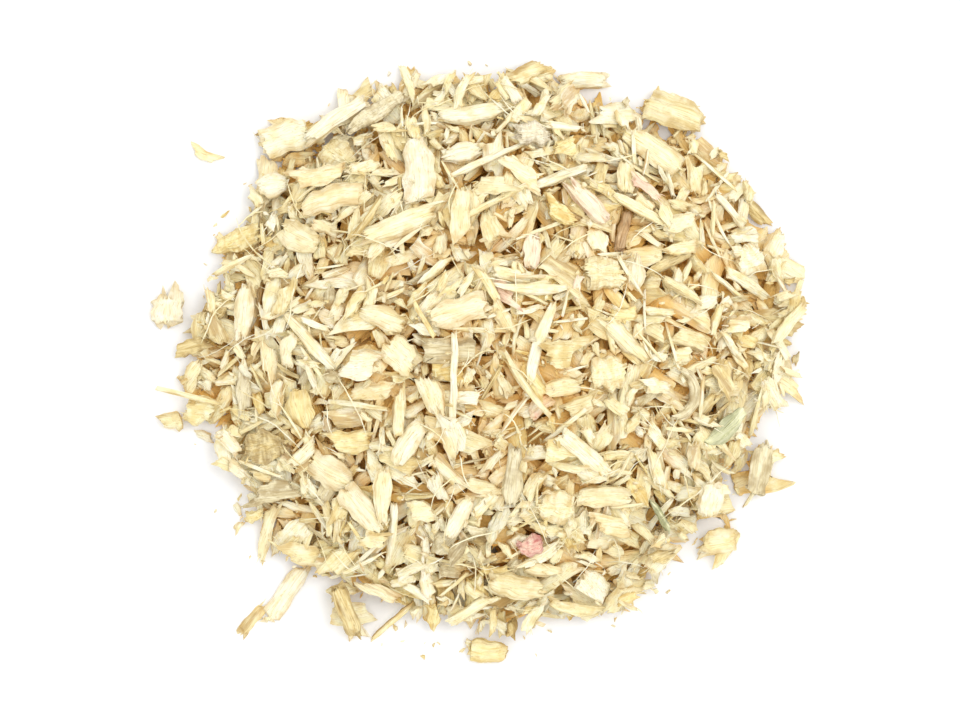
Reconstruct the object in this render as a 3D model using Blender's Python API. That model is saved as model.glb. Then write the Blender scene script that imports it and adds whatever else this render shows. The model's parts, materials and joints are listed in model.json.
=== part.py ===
"""Poke root, cut and dried: a loose heap of root chips lying on a flat surface.

The chips that stand out are objects of their own, each at its place on the heap.
The many small chips between and under them are one closed mound with a flat foot.
Metres, +Z up. The origin is on the surface that the heap lies on, under its middle.
"""

import math

import bmesh
import bpy
import numpy as np
from mathutils import Matrix, Vector, noise
from mathutils.bvhtree import BVHTree

MM = 0.001

# The heap
HEAP_HEIGHT = 23.0 * MM
TOE_HEIGHT = 1.7 * MM
SLOPE_POWER = 1.25
RIM_STEP_DEG = 30
RIM_RADII = (55.5, 55.5, 52.0, 50.0, 49.5, 50.0, 50.5, 47.0, 49.0, 49.0, 49.0, 52.0)
RIM_LOBE = 2.6 * MM
RIM_LOBES = 3
SWELL = 0.7 * MM
SWELL_LENGTH = 18 * MM
SLOPE_REACH = 4 * MM

# The small chips, grown together in one mound: its packed inside, and the chips that its surface shows
GRID_CELLS = 11
INSIDE_DROP = 1.4 * MM
INSIDE_SHARE = 0.95
CRUMPLE = 0.5 * MM
FOOT_DROP = 3.0 * MM
SMALL_CHIPS = 135
SMALL_TRIES = 9000
SMALL_SPACING = 6.2 * MM
SMALL_LENGTH = (6.5 * MM, 11.0 * MM)
SMALL_WIDTH = (3.4 * MM, 6.0 * MM)
SMALL_THICKNESS = (1.9 * MM, 3.0 * MM)
SMALL_LEVEL = (-1.2 * MM, -0.5 * MM)
SMALL_TILT = math.radians(22)
SMALL_TIP = (0.35, 0.95)
SMALL_SHORTENING = 0.2
SEED = 9

# The rim: how far in from it the chips begin to point outwards, how far past it their middles reach
RIM_BAND = 3.5 * MM
RIM_PAST = 0.6 * MM
RIM_FAN = math.radians(35)

# How a chip lies on what is under it
GAP = 0.35 * MM
SEAT_MARGIN = 0.9 * MM
CAST_HEIGHT = 80.0 * MM
LOW_STEP = 1e-5

# The pit in the holed flake: its place along, across and over the flake's middle as shares of its size,
# and its width at the bottom and at the mouth
PIT_ALONG = 0.22
PIT_ACROSS = -0.20
PIT_OVER = 0.55
PIT_BOTTOM_RADIUS = 0.55 * MM
PIT_MOUTH_RADIUS = 1.32 * MM
PIT_SIDES = 8

# How a block is worked into a chip, in shares of its half size: its taper, its worn edges and ends,
# and how its sides, faces and ends wander
TAPER_POWER = 2.2
EDGE_WEAR = 0.45
END_WEAR = 0.4
END_WEAR_POWER = 3
STUB_WEAR = 0.2
SIDE_WANDER = 0.18
SIDE_WAVES = (1.6, 4.0, 0.0)
FACE_WANDER = 0.2
FACE_WAVES = (2.3, 2.3, 1.7)
END_WANDER = 0.12
END_FRAY = 0.22
END_WAVES = (1.0, 5.1, 3.3)
END_POWER = 4
RIDGES = 2
SEED_STEP = 3.7

# Faces along, across and through a chip of each build
BUILDS = {
    "flake": (4, 3, 1),
    "plank": (5, 2, 1),
    "splinter": (7, 1, 1),
    "chunk": (3, 3, 1),
    "stub": (5, 2, 2),
}

# Screen colours of the root, from its fresh white wood to its bark
TONES = {
    "pale": (244, 235, 196),
    "cream": (238, 222, 176),
    "tan": (222, 196, 146),
    "peach": (234, 204, 160),
    "amber": (206, 160, 92),
    "bark": (168, 138, 92),
    "grey_bark": (176, 160, 122),
    "brown": (140, 100, 72),
    "pink": (228, 176, 150),
    "red": (196, 104, 100),
    "green": (182, 184, 128),
}
ROUGHNESS = 0.8

# What else shapes a chip, and its usual value: how much each tip narrows, the height of the ridges on its
# back, how rough and how frayed it is, its bow along and across the grain in mm, its bend in degrees
USUAL_SHAPE = {
    "tips": (0.15, 0.15),
    "ridge": 0.0,
    "rough": 0.0,
    "fray": 0.0,
    "arch": 0.0,
    "cup": 0.0,
    "turn": 0.0,
}

# name, middle x and y in mm, length, width and thickness in mm, heading in degrees,
# build, tone, and what else shapes it
CHIPS = (
    ("pale_block", -33.6, 39.0, 8.0, 5.6, 2.6, 15, "chunk", "pale", {"ridge": 0.12}),
    ("ridged_plank", -24.7, 42.2, 11.8, 3.1, 2.2, 34, "plank", "pale", {"ridge": 0.25}),
    ("bark_shard", -17.9, 43.3, 11.2, 2.9, 1.9, 40, "plank", "grey_bark", {"tips": (0.5, 0.2), "fray": 0.5}),
    ("tan_scale", -24.4, 35.9, 6.3, 5.4, 1.6, -40, "flake", "tan", {"tips": (0.3, 0.5), "arch": 0.4}),
    ("broad_flake", -25.4, 28.1, 11.4, 5.2, 1.7, 4, "flake", "peach", {"tips": (0.5, 0.35), "arch": 0.8}),
    ("round_chip", -35.6, 30.7, 5.1, 4.8, 2.0, 0, "chunk", "pale", {"tips": (0.4, 0.5)}),
    ("holed_flake", -10.5, 33.2, 12.8, 6.0, 2.2, -86, "flake", "pale", {"tips": (0.55, 0.15)}),
    ("cream_plank", -13.5, 23.6, 12.4, 3.5, 2.2, 17, "plank", "cream", {"tips": (0.3, 0.3), "ridge": 0.2}),
    ("bowed_plank", -1.2, 43.2, 10.9, 3.1, 1.9, 2, "plank", "pale",
     {"tips": (0.4, 0.3), "turn": 25, "ridge": 0.2}),
    ("cream_lens", -2.6, 36.2, 6.5, 4.1, 2.3, 12, "chunk", "pale", {"tips": (0.5, 0.5)}),
    ("long_splinter", 1.6, 35.0, 14.0, 1.4, 1.1, 29, "splinter", "pale", {"tips": (0.7, 0.5), "turn": -10}),
    ("straight_splinter", 3.0, 27.8, 12.8, 1.1, 0.9, 33, "splinter", "cream", {"tips": (0.4, 0.4)}),
    ("ridge_block", 18.4, 49.2, 7.4, 3.0, 2.3, 2, "plank", "pale", {"ridge": 0.3}),
    ("fan_flake", 34.3, 43.6, 10.0, 6.2, 1.5, -20, "flake", "tan",
     {"tips": (0.1, 0.5), "arch": 1.3, "ridge": 0.25}),
    ("grey_bark_chunk", 9.6, 39.4, 5.0, 4.4, 2.3, 8, "chunk", "grey_bark", {"rough": 0.3}),
    ("frayed_flake", 30.8, 36.6, 12.0, 5.2, 1.6, -38, "flake", "cream", {"tips": (0.5, 0.0), "fray": 1.0}),
    ("split_plank", 14.0, 31.9, 11.2, 1.7, 1.5, 29, "plank", "pale", {"tips": (0.5, 0.2), "ridge": 0.25}),
    ("olive_flake", 25.6, 31.9, 5.8, 3.3, 1.5, 85, "flake", "tan", {"tips": (0.3, 0.3)}),
    ("pink_chip", 19.2, 27.3, 8.6, 3.3, 1.9, -54, "flake", "pink", {"tips": (0.3, 0.35), "ridge": 0.15}),
    ("narrow_plank", 27.6, 26.6, 9.6, 1.9, 1.6, -30, "plank", "cream", {"tips": (0.5, 0.3)}),
    ("brown_stub", 25.1, 22.5, 7.5, 2.1, 2.0, 72, "stub", "brown", {"tips": (0.25, 0.1), "fray": 0.5}),
    ("tan_chunk", 21.7, 15.2, 6.4, 5.8, 2.4, 5, "chunk", "tan", {"rough": 0.3}),
    ("ribbed_flake", 9.3, 18.9, 5.7, 3.3, 1.6, 82, "flake", "pink", {"tips": (0.35, 0.4), "ridge": 0.25}),
    ("pale_cluster", 47.2, 18.0, 5.4, 5.0, 2.2, 20, "chunk", "pale", {"rough": 0.35}),
    ("bowed_splinter", 9.1, 12.8, 13.2, 1.7, 1.3, 0, "splinter", "pale", {"tips": (0.6, 0.4), "turn": 22}),
    ("almond_flake", -40.6, 8.9, 8.9, 4.1, 1.9, 92, "flake", "pale", {"tips": (0.45, 0.5)}),
    ("bark_point", -42.4, 20.8, 8.8, 4.2, 1.7, 15, "flake", "amber", {"tips": (0.85, 0.1), "rough": 0.25}),
    ("two_tone_flake", -30.8, 21.6, 7.6, 4.7, 1.6, -30, "flake", "tan", {"tips": (0.2, 0.4), "ridge": 0.2}),
    ("split_block", -54.4, 9.1, 5.4, 4.6, 2.1, 0, "chunk", "pale", {"tips": (0.2, 0.1)}),
    ("slender_plank", -29.1, 3.7, 13.6, 1.9, 1.4, -41, "plank", "pale", {"tips": (0.4, 0.3), "ridge": 0.25}),
    ("shell_flake", -16.5, 7.7, 8.3, 3.8, 1.5, -20, "flake", "cream", {"tips": (0.5, 0.3), "arch": 0.7}),
    ("cube_chip", -13.3, 1.2, 5.7, 4.9, 2.6, -40, "chunk", "cream", {"tips": (0.1, 0.1), "ridge": 0.2}),
    ("peach_slab", -3.3, 8.8, 9.7, 5.0, 1.7, 15, "flake", "peach", {"tips": (0.5, 0.1)}),
    ("amber_leaf", -30.5, -8.1, 6.8, 5.8, 1.4, -80, "flake", "amber", {"tips": (0.5, 0.75), "arch": 0.4}),
    ("bark_cup", -36.8, -14.4, 7.8, 6.2, 1.5, 10, "flake", "bark",
     {"tips": (0.3, 0.3), "cup": 1.1, "rough": 0.3}),
    ("tall_splinter", -4.1, -3.3, 16.1, 1.2, 1.0, 89, "splinter", "pale", {"tips": (0.2, 0.2)}),
    ("pale_tongue", -11.9, -14.0, 8.8, 3.4, 1.7, 55, "flake", "pale", {"tips": (0.3, 0.1), "turn": -30}),
    ("round_flake", -25.4, -19.1, 8.0, 6.4, 1.9, -20, "flake", "peach", {"tips": (0.35, 0.45), "arch": 0.8}),
    ("wedge_flake", -20.0, -25.7, 9.4, 5.2, 1.8, -50, "flake", "peach", {"tips": (0.05, 0.6), "ridge": 0.2}),
    ("lemon_plank", -3.3, -26.8, 8.6, 2.9, 1.6, 66, "plank", "pale", {"tips": (0.3, 0.4), "fray": 0.6}),
    ("khaki_plank", 6.1, -19.6, 10.4, 3.0, 2.0, 88, "plank", "grey_bark", {"tips": (0.3, 0.2)}),
    ("triangle_flake", 13.3, -25.3, 6.1, 5.6, 1.6, -15, "flake", "cream", {"tips": (0.6, 0.1), "rough": 0.2}),
    ("tan_saddle", 21.5, -23.1, 9.5, 4.1, 1.7, -8, "flake", "tan",
     {"tips": (0.3, 0.3), "arch": -0.5, "cup": 0.5}),
    ("red_chip", 9.1, -31.8, 4.1, 3.7, 1.6, 20, "chunk", "red", {"rough": 0.35}),
    ("lemon_blade", 18.6, -15.8, 11.5, 3.0, 1.6, -42, "plank", "pale", {"tips": (0.1, 0.6), "ridge": 0.15}),
    ("cream_blade", 25.7, 3.5, 9.3, 3.0, 1.5, -41, "plank", "cream", {"tips": (0.3, 0.6)}),
    ("s_plank", 10.7, 3.3, 14.6, 1.9, 1.4, 72, "plank", "pale",
     {"tips": (0.3, 0.2), "turn": -22, "fray": 0.4}),
    ("crumbly_chunk", 22.2, -1.9, 6.0, 5.7, 2.4, 0, "chunk", "cream", {"rough": 0.45}),
    ("fibre_curl", 36.0, -5.6, 13.0, 1.8, 1.4, 84, "plank", "grey_bark", {"tips": (0.5, 0.5), "turn": 170}),
    ("green_scrap", 43.0, -11.4, 8.8, 3.2, 1.0, 35, "flake", "green",
     {"tips": (0.6, 0.3), "rough": 0.3, "arch": 0.6}),
    ("sage_strip", 49.3, -18.8, 8.8, 3.8, 1.1, 80, "flake", "grey_bark", {"tips": (0.1, 0.3), "ridge": 0.3}),
    ("striped_block", 40.4, -24.0, 5.6, 4.2, 2.1, 86, "chunk", "pale", {"ridge": 0.25}),
    ("woody_stub", -22.9, -43.2, 9.0, 3.0, 2.8, -71, "stub", "bark", {"fray": 0.8}),
    ("frayed_tail", -33.4, -40.4, 10.8, 3.8, 1.4, 54, "flake", "pale", {"tips": (0.1, 0.5), "fray": 1.0}),
    ("rough_oval", 6.5, -38.7, 9.2, 4.7, 1.9, -20, "flake", "tan", {"tips": (0.45, 0.45), "rough": 0.25}),
    ("bark_foot", 1.8, -50.6, 6.4, 3.9, 2.3, -5, "chunk", "amber", {"tips": (0.1, 0.4), "fray": 0.5}),
    ("pale_stray", 42.1, -31.5, 5.6, 4.4, 1.6, 10, "flake", "cream", {"tips": (0.5, 0.1)}),
)


def clear_scene():
    for found in list(bpy.data.objects):
        bpy.data.objects.remove(found)


def mesh_of(bm, name):
    mesh = bpy.data.meshes.new(name)
    bm.to_mesh(mesh)
    bm.free()
    return mesh


def linear(channel):
    """A screen colour channel, 0 to 255, as linear light."""
    share = channel / 255
    return share / 12.92 if share <= 0.04045 else ((share + 0.055) / 1.055) ** 2.4


def root_material(tone):
    made = bpy.data.materials.get(tone) or bpy.data.materials.new(tone)
    made.use_nodes = True
    shader = made.node_tree.nodes["Principled BSDF"]
    colour = tuple(linear(channel) for channel in TONES[tone])
    shader.inputs["Base Color"].default_value = (*colour, 1.0)
    shader.inputs["Roughness"].default_value = ROUGHNESS
    shader.inputs["Metallic"].default_value = 0.0
    made.diffuse_color = (*colour, 1.0)
    return made


def rim_radius(angle):
    """The heap's reach in a direction, in metres, with smooth stretches between the stated radii."""
    place = (math.degrees(angle) % 360) / RIM_STEP_DEG
    first = int(place)
    share = (1 - math.cos(math.pi * (place - first))) / 2
    here = RIM_RADII[first % len(RIM_RADII)]
    after = RIM_RADII[(first + 1) % len(RIM_RADII)]
    lobe = noise.noise(Vector((RIM_LOBES * math.cos(angle), RIM_LOBES * math.sin(angle), SEED)))
    return (here + (after - here) * share) * MM + RIM_LOBE * lobe


def heap_level(x, y):
    """The heap's height over the floor at a place, with its chips smoothed away; one layer past its rim."""
    out = math.hypot(x, y) / rim_radius(math.atan2(y, x))
    if out >= 1:
        return TOE_HEIGHT
    dome = TOE_HEIGHT + (HEAP_HEIGHT - TOE_HEIGHT) * (1 - out * out) ** SLOPE_POWER
    swell = noise.noise(Vector((x / SWELL_LENGTH, y / SWELL_LENGTH, SEED)))
    return dome + SWELL * swell * (1 - out)


def heap_normal(x, y):
    """The way the smooth heap faces at a place."""
    across = heap_level(x + SLOPE_REACH, y) - heap_level(x - SLOPE_REACH, y)
    along = heap_level(x, y + SLOPE_REACH) - heap_level(x, y - SLOPE_REACH)
    return Vector((-across, -along, 2 * SLOPE_REACH)).normalized()


def cut_along(bm, axis, pieces):
    """Cuts every edge of a block of side 1 that runs along an axis into that many pieces."""
    if pieces < 2:
        return
    edges = [e for e in bm.edges if abs((e.verts[0].co - e.verts[1].co)[axis]) > 0.5]
    bmesh.ops.subdivide_edges(bm, edges=edges, cuts=pieces - 1, use_grid_fill=True)


def waver(along, across, through, waves, seed):
    """A smooth random value between about -1 and 1 at a place on a chip."""
    return noise.noise(Vector((along * waves[0] + seed, across * waves[1], through * waves[2])))


def chip_point(along, across, through, size, seed, shape, rounded):
    """Where a point of a block from -1 to 1 goes, on a chip that lies along X with its grain."""
    narrowing = shape["tips"][along > 0] * abs(along) ** TAPER_POWER
    side = waver(along, across, 0, SIDE_WAVES, seed)
    face = waver(along, across, through, FACE_WAVES, seed)
    end = waver(along, across, through, END_WAVES, seed)
    worn = abs(along) ** END_WEAR_POWER
    x = along * (1 + (END_WANDER + END_FRAY * shape["fray"]) * end * abs(along) ** END_POWER)
    if rounded:
        spin = math.atan2(through, across)
        y, z = math.cos(spin), math.sin(spin) * (1 - STUB_WEAR * worn)
    else:
        y, z = across, through * (1 - EDGE_WEAR * across * across) * (1 - END_WEAR * worn)
    y *= (1 - narrowing) * (1 + (SIDE_WANDER + shape["rough"]) * side)
    z *= 1 + (FACE_WANDER + shape["rough"]) * face
    if through > 0:
        z += shape["ridge"] * math.cos(math.pi * RIDGES * across)
    bow = shape["arch"] * MM * (0.5 - along * along) + shape["cup"] * MM * across * across
    return Vector((x * size.x, y * size.y, z * size.z + bow))


def bent(point, radius):
    """A point of a straight chip, after the chip is bent sideways to a radius."""
    spin = point.x / radius
    arm = radius - point.y
    return Vector((arm * math.sin(spin), radius - arm * math.cos(spin), point.z))


def chip_mesh(name, length, width, thickness, build_kind, seed, more):
    """A chip as a block that is cut into a grid and then shaped."""
    size = Vector((length, width, thickness)) * MM / 2
    shape = USUAL_SHAPE | more
    bm = bmesh.new()
    bmesh.ops.create_cube(bm, size=1.0)
    for axis, pieces in enumerate(BUILDS[build_kind]):
        cut_along(bm, axis, pieces)
    for vert in bm.verts:
        vert.co = chip_point(*(2 * vert.co), size, seed, shape, build_kind == "stub")
        if shape["turn"]:
            vert.co = bent(vert.co, length * MM / math.radians(shape["turn"]))
    middle = sum(v.co.y for v in bm.verts) / len(bm.verts)
    bmesh.ops.translate(bm, verts=bm.verts, vec=(0, -middle, 0))
    bmesh.ops.triangulate(bm, faces=bm.faces)
    return mesh_of(bm, name)


def lying_flat(x, y, heading):
    """Where a chip would lie on the smooth heap: its grain along the heading, its back to the slope."""
    up = heap_normal(x, y)
    way = Vector((math.cos(heading), math.sin(heading), 0))
    side = up.cross(way).normalized()
    way = side.cross(up)
    turned = Matrix((way, side, up)).transposed().to_4x4()
    return Matrix.Translation((x, y, heap_level(x, y))) @ turned


def highest_under(tree, point):
    """The top of a solid below or above a point, or None beside it."""
    hit = tree.ray_cast(Vector((point.x, point.y, CAST_HEIGHT)), Vector((0, 0, -1)))[0]
    return hit.z if hit else None


def lowest_over(tree, point):
    """The underside of a solid at a point's place, or None beside it."""
    hit = tree.ray_cast(Vector((point.x, point.y, -CAST_HEIGHT)), Vector((0, 0, 1)))[0]
    return hit.z if hit else None


def as_seen(solid):
    """A solid's corners and faces in the heap's frame, with its modifiers."""
    seen = solid.evaluated_get(bpy.context.evaluated_depsgraph_get())
    corners = [solid.matrix_world @ v.co for v in seen.data.vertices]
    faces = [tuple(p.vertices) for p in seen.data.polygons]
    middles = [(corners[e.vertices[0]] + corners[e.vertices[1]]) / 2 for e in seen.data.edges]
    return BVHTree.FromPolygons(corners, faces), corners + middles


def set_down(chip, below):
    """Lifts or lowers a chip straight until it clears what is under it by the gap, or stands on the floor."""
    tree, points = as_seen(chip)
    lowest = min(point.z for point in points)
    lift = -lowest + LOW_STEP
    for other_tree, other_points in below:
        for point in points:
            top = highest_under(other_tree, point)
            if top is not None:
                lift = max(lift, top + GAP - point.z)
        for point in other_points:
            under = lowest_over(tree, point)
            if under is not None:
                lift = max(lift, point.z + GAP - under)
    chip.location.z += lift
    bpy.context.view_layer.update()


def under_a_chip(x, y, chips):
    """Whether a place lies under one of the chips that have their own objects."""
    spot = Vector((x, y, heap_level(x, y)))
    for chip, length, width, _ in chips:
        at = chip.matrix_world.inverted() @ spot
        if abs(at.x) < length * MM / 2 + SEAT_MARGIN and abs(at.y) < width * MM / 2 + SEAT_MARGIN:
            return True
    return False


def packed_inside():
    """The mound under its outermost chips: a crumpled dome on a foot that is cut off at the floor later."""
    draw = np.random.default_rng(SEED)
    bm = bmesh.new()
    bmesh.ops.create_grid(bm, x_segments=GRID_CELLS, y_segments=GRID_CELLS, size=1.0)
    rim = [e for e in bm.edges if e.is_boundary]
    for vert in bm.verts:
        across, along = vert.co.x, vert.co.y
        x = across * math.sqrt(1 - along * along / 2)
        y = along * math.sqrt(1 - across * across / 2)
        angle = math.atan2(y, x)
        radius = rim_radius(angle) * math.hypot(x, y) * INSIDE_SHARE
        x, y = radius * math.cos(angle), radius * math.sin(angle)
        level = heap_level(x, y) - INSIDE_DROP + CRUMPLE * draw.uniform(-1, 1)
        vert.co = (x, y, max(level, TOE_HEIGHT / 2))
    for made in bmesh.ops.extrude_edge_only(bm, edges=rim)["geom"]:
        if isinstance(made, bmesh.types.BMVert):
            made.co.z = -FOOT_DROP
    bmesh.ops.contextual_create(bm, geom=[e for e in bm.edges if e.is_boundary])
    bmesh.ops.triangulate(bm, faces=bm.faces)
    bmesh.ops.recalc_face_normals(bm, faces=bm.faces)
    return mesh_of(bm, "small_chips")


def small_block(draw, past, x, y):
    """One of the mound's outermost small chips: a tapered block, half sunk in it and tilted as it fell."""
    size = Vector((draw.uniform(*SMALL_LENGTH), draw.uniform(*SMALL_WIDTH), draw.uniform(*SMALL_THICKNESS)))
    pitch, roll = draw.uniform(-SMALL_TILT, SMALL_TILT, 2)
    heading = draw.uniform(0, math.pi)
    if past > -RIM_BAND:
        heading = math.atan2(y, x) + draw.uniform(-RIM_FAN, RIM_FAN)
    place = lying_flat(x, y, heading) @ Matrix.Translation((0, 0, draw.uniform(*SMALL_LEVEL)))
    place = place @ Matrix.Rotation(pitch, 4, "Y") @ Matrix.Rotation(roll, 4, "X")
    bm = bmesh.new()
    for vert in bmesh.ops.create_cube(bm, size=1.0)["verts"]:
        tip = draw.uniform(*SMALL_TIP)
        shorter = 1 - SMALL_SHORTENING * (1 - tip)
        vert.co = Vector((vert.co.x * size.x * shorter, vert.co.y * size.y * tip, vert.co.z * size.z))
    bmesh.ops.triangulate(bm, faces=bm.faces)
    bmesh.ops.transform(bm, matrix=place, verts=bm.verts)
    return bm


def small_blocks(chips):
    """The mound's outermost small chips, spread over it but not under the chips with their own objects."""
    draw = np.random.default_rng(SEED)
    reach = max(RIM_RADII) * MM
    spots = []
    blocks = []
    for _ in range(SMALL_TRIES):
        x, y = draw.uniform(-reach, reach, 2)
        past = math.hypot(x, y) - rim_radius(math.atan2(y, x))
        if len(spots) == SMALL_CHIPS or past > RIM_PAST:
            continue
        if any(math.hypot(x - a, y - b) < SMALL_SPACING for a, b in spots) or under_a_chip(x, y, chips):
            continue
        spots.append((x, y))
        blocks.append(small_block(draw, past, x, y))
    return blocks


def in_layers(blocks):
    """The blocks as a few meshes, such that no two blocks of one mesh touch."""
    layers = []
    for block in blocks:
        tree = BVHTree.FromBMesh(block)
        for trees, whole in layers:
            if not any(tree.overlap(other) for other in trees):
                break
        else:
            trees, whole = [], bmesh.new()
            layers.append((trees, whole))
        trees.append(tree)
        whole.from_mesh(mesh_of(block, "small_block"))
    return [mesh_of(whole, "chip_layer") for _, whole in layers]


def cutter_of(mesh, collection):
    made = bpy.data.objects.new(mesh.name, mesh)
    made.hide_render = True
    made.display_type = "WIRE"
    collection.objects.link(made)
    return made


def boolean(solid, name, operation, operand):
    made = solid.modifiers.new(name, "BOOLEAN")
    made.operation = operation
    made.solver = "EXACT"
    made.object = operand


def floor_block():
    """Everything under the surface that the heap lies on."""
    bm = bmesh.new()
    side = 4 * max(RIM_RADII) * MM
    deep = 4 * FOOT_DROP
    block = Matrix.Translation((0, 0, -deep / 2)) @ Matrix.Diagonal((side, side, deep, 1))
    bmesh.ops.create_cube(bm, size=1.0, matrix=block)
    return mesh_of(bm, "floor_block")


def mound(collection, cutters, chips):
    """The small chips as one solid, cut flat where it lies on the floor."""
    made = bpy.data.objects.new("small_chips", packed_inside())
    made.data.materials.append(root_material("cream"))
    collection.objects.link(made)
    for layer in in_layers(small_blocks(chips)):
        boolean(made, "chips", "UNION", cutter_of(layer, cutters))
    boolean(made, "foot", "DIFFERENCE", cutter_of(floor_block(), cutters))
    return made


def cut_pit(chip, collection, length, width, thickness):
    """The round pit where a side root left the holed flake."""
    bm = bmesh.new()
    bmesh.ops.create_cone(
        bm, cap_ends=True, segments=PIT_SIDES,
        radius1=PIT_BOTTOM_RADIUS, radius2=PIT_MOUTH_RADIUS, depth=thickness,
    )
    cutter = cutter_of(mesh_of(bm, "pit_cutter"), collection)
    cutter.location = (PIT_ALONG * length, PIT_ACROSS * width, PIT_OVER * thickness)
    cutter.parent = chip
    boolean(chip, "pit", "DIFFERENCE", cutter)


def build():
    clear_scene()
    heap = bpy.data.collections.new("poke_root")
    cutters = bpy.data.collections.new("cutters")
    for made in (heap, cutters):
        bpy.context.scene.collection.children.link(made)
    chips = []
    for seed, (name, x, y, length, width, thickness, heading, build_kind, tone, more) in enumerate(CHIPS):
        mesh = chip_mesh(name, length, width, thickness, build_kind, SEED_STEP * seed, more)
        chip = bpy.data.objects.new(name, mesh)
        chip.data.materials.append(root_material(tone))
        heap.objects.link(chip)
        chip.matrix_world = lying_flat(x * MM, y * MM, math.radians(heading))
        chips.append((chip, length, width, thickness))
    bpy.context.view_layer.update()
    base = mound(heap, cutters, chips)
    bpy.context.view_layer.update()
    below = [as_seen(base)]
    for chip, length, width, thickness in chips:
        set_down(chip, below)
        below.append(as_seen(chip))
        if chip.name == "holed_flake":
            cut_pit(chip, cutters, length * MM, width * MM, thickness * MM)


build()
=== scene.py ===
"""Looks of the heap of cut poke root: every chip, splinter, fibre and crumb as its own shape.

The chips fall onto a height map one by one, each coming to rest on what is already there, until the
heap has the form of the frame's mound. The chips that the frame has as nodes are finished where they lie.
Lengths are in millimetres until a mesh is made.
"""

import json
import math

import bpy
import numpy as np
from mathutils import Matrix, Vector
from mathutils.bvhtree import BVHTree


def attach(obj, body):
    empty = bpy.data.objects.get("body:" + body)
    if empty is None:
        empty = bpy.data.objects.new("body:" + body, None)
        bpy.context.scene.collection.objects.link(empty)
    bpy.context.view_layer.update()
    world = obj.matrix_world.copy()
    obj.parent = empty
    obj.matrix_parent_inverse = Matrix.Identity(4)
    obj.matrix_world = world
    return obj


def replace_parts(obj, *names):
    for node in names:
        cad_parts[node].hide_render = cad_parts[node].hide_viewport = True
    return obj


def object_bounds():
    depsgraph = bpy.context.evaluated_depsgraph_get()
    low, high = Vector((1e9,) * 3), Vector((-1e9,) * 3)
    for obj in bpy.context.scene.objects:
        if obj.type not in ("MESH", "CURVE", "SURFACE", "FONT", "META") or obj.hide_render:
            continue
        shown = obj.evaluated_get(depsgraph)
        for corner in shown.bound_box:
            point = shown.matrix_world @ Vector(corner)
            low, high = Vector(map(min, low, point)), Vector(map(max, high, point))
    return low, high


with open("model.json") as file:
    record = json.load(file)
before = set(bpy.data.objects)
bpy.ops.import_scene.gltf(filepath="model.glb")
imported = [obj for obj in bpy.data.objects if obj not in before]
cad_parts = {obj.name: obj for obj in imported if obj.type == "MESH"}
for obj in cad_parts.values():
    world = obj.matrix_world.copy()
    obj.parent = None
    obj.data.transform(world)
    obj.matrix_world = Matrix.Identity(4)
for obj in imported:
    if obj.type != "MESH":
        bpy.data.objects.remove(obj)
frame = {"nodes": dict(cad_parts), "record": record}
CAD_LOW, CAD_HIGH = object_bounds()

MM = 0.001
SEED = 41
MOUND = "small_chips"
BODY = "root"

# The height map
CELL = 0.3
REACH = 63.0
SIDE = int(2 * REACH / CELL) + 1
NO_LIMIT = 1e3
COARSE = 1.2
SOFTEN_PASSES = 5
BOX_MARGIN = 0.1
BOX_LOW = (CAD_LOW.x / MM - BOX_MARGIN, CAD_LOW.y / MM - BOX_MARGIN)
BOX_HIGH = (CAD_HIGH.x / MM + BOX_MARGIN, CAD_HIGH.y / MM + BOX_MARGIN)
BOX_TOP = CAD_HIGH.z / MM + BOX_MARGIN
HIGHEST = 1.02
HEAP_EDGE = 0.6
EDGE_INSET = 0.8
FLOOR = -1
NAMED = -2

# How the heap carries the named chips: places off their outline, and on how wide a foot away from the rim
SUPPORT_INSET = 2
SUPPORT_MARGIN = 6.0
SUPPORT_REACH = 10
SUPPORT_FALL = 0.25
PRESSED_IN = 0.5

# Painted warm shade on what lies deep: the surface that it is measured from, its start and its depth
COVER_HALF = 5
COVER_REACH = 24
COVER_RISE = 0.14
PAINTED_SHADE_FROM = -0.2
PAINTED_SHADE_OVER = 2.3
PAINTED_SHADE_COLOUR = (255, 203, 106)
PAINTED_SHADE_SHARE = 0.9

# How a chip comes to rest: the share of it that its resting points span, which of them carries it (the
# few higher ones press in), its steepest slope, how its sides and ends thin out, and the tilts that it
# tries, in mm at its tip and at its side
EDGE_SHARE = 0.93
CONTACT_RANK = 4
MAX_SLOPE = math.tan(math.radians(30))
WORN_SIDE = 0.35
WORN_END = 0.3
TAPER = 0.3
FIRST_TILTS = ((-1.2, -0.6, 0.0, 0.6, 1.2), (-0.6, 0.0, 0.6))
FINER_TILTS = ((-0.3, -0.15, 0.0, 0.15, 0.3), (-0.2, 0.0, 0.2))

# How far the heap is filled, every 15 degrees counterclockwise from the right; its chips reach further
OUTLINE = (
    57.5, 56.7, 56.2, 54.2, 49.5, 52.0, 48.9, 51.5, 44.4, 49.5, 47.4, 46.3,
    54.0, 46.3, 47.3, 47.0, 43.8, 44.7, 44.9, 45.8, 49.9, 45.8, 46.5, 48.5,
)

# Filling the heap
FILL_TRIES = 9000
LOOKS = 7
ENOUGH_ROOM = 0.35
FILL_SLACK = 0.7
LEVEL_TRIES = 2600
LEVEL_LOOKS = 60
LEVEL_SCALES = (0.65, 1.05)
LEVEL_SLACK = 1.1
GAP_TRIES = 1000
GAP_SCALES = (0.45, 0.75)
BED_TRIES = 2400
BED_DEPTH = 9.0
BED_SCALES = (0.4, 0.75)
BED_THICKNESS = 0.9
BED_BATCH = 80
TOP_CHIPS = 1300
TOP_LOOKS = 12
TOP_SLACK = 2.0
TOP_SPLINTERS = 380
RIM_CHIPS = 260
RIM_SPREAD = 1.8
RIM_INSET = 1.6
RIM_SCALES = (0.5, 0.95)
CRUMBS = 700
FIBRES = 150
MOST_COVERED = 0.1

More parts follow.
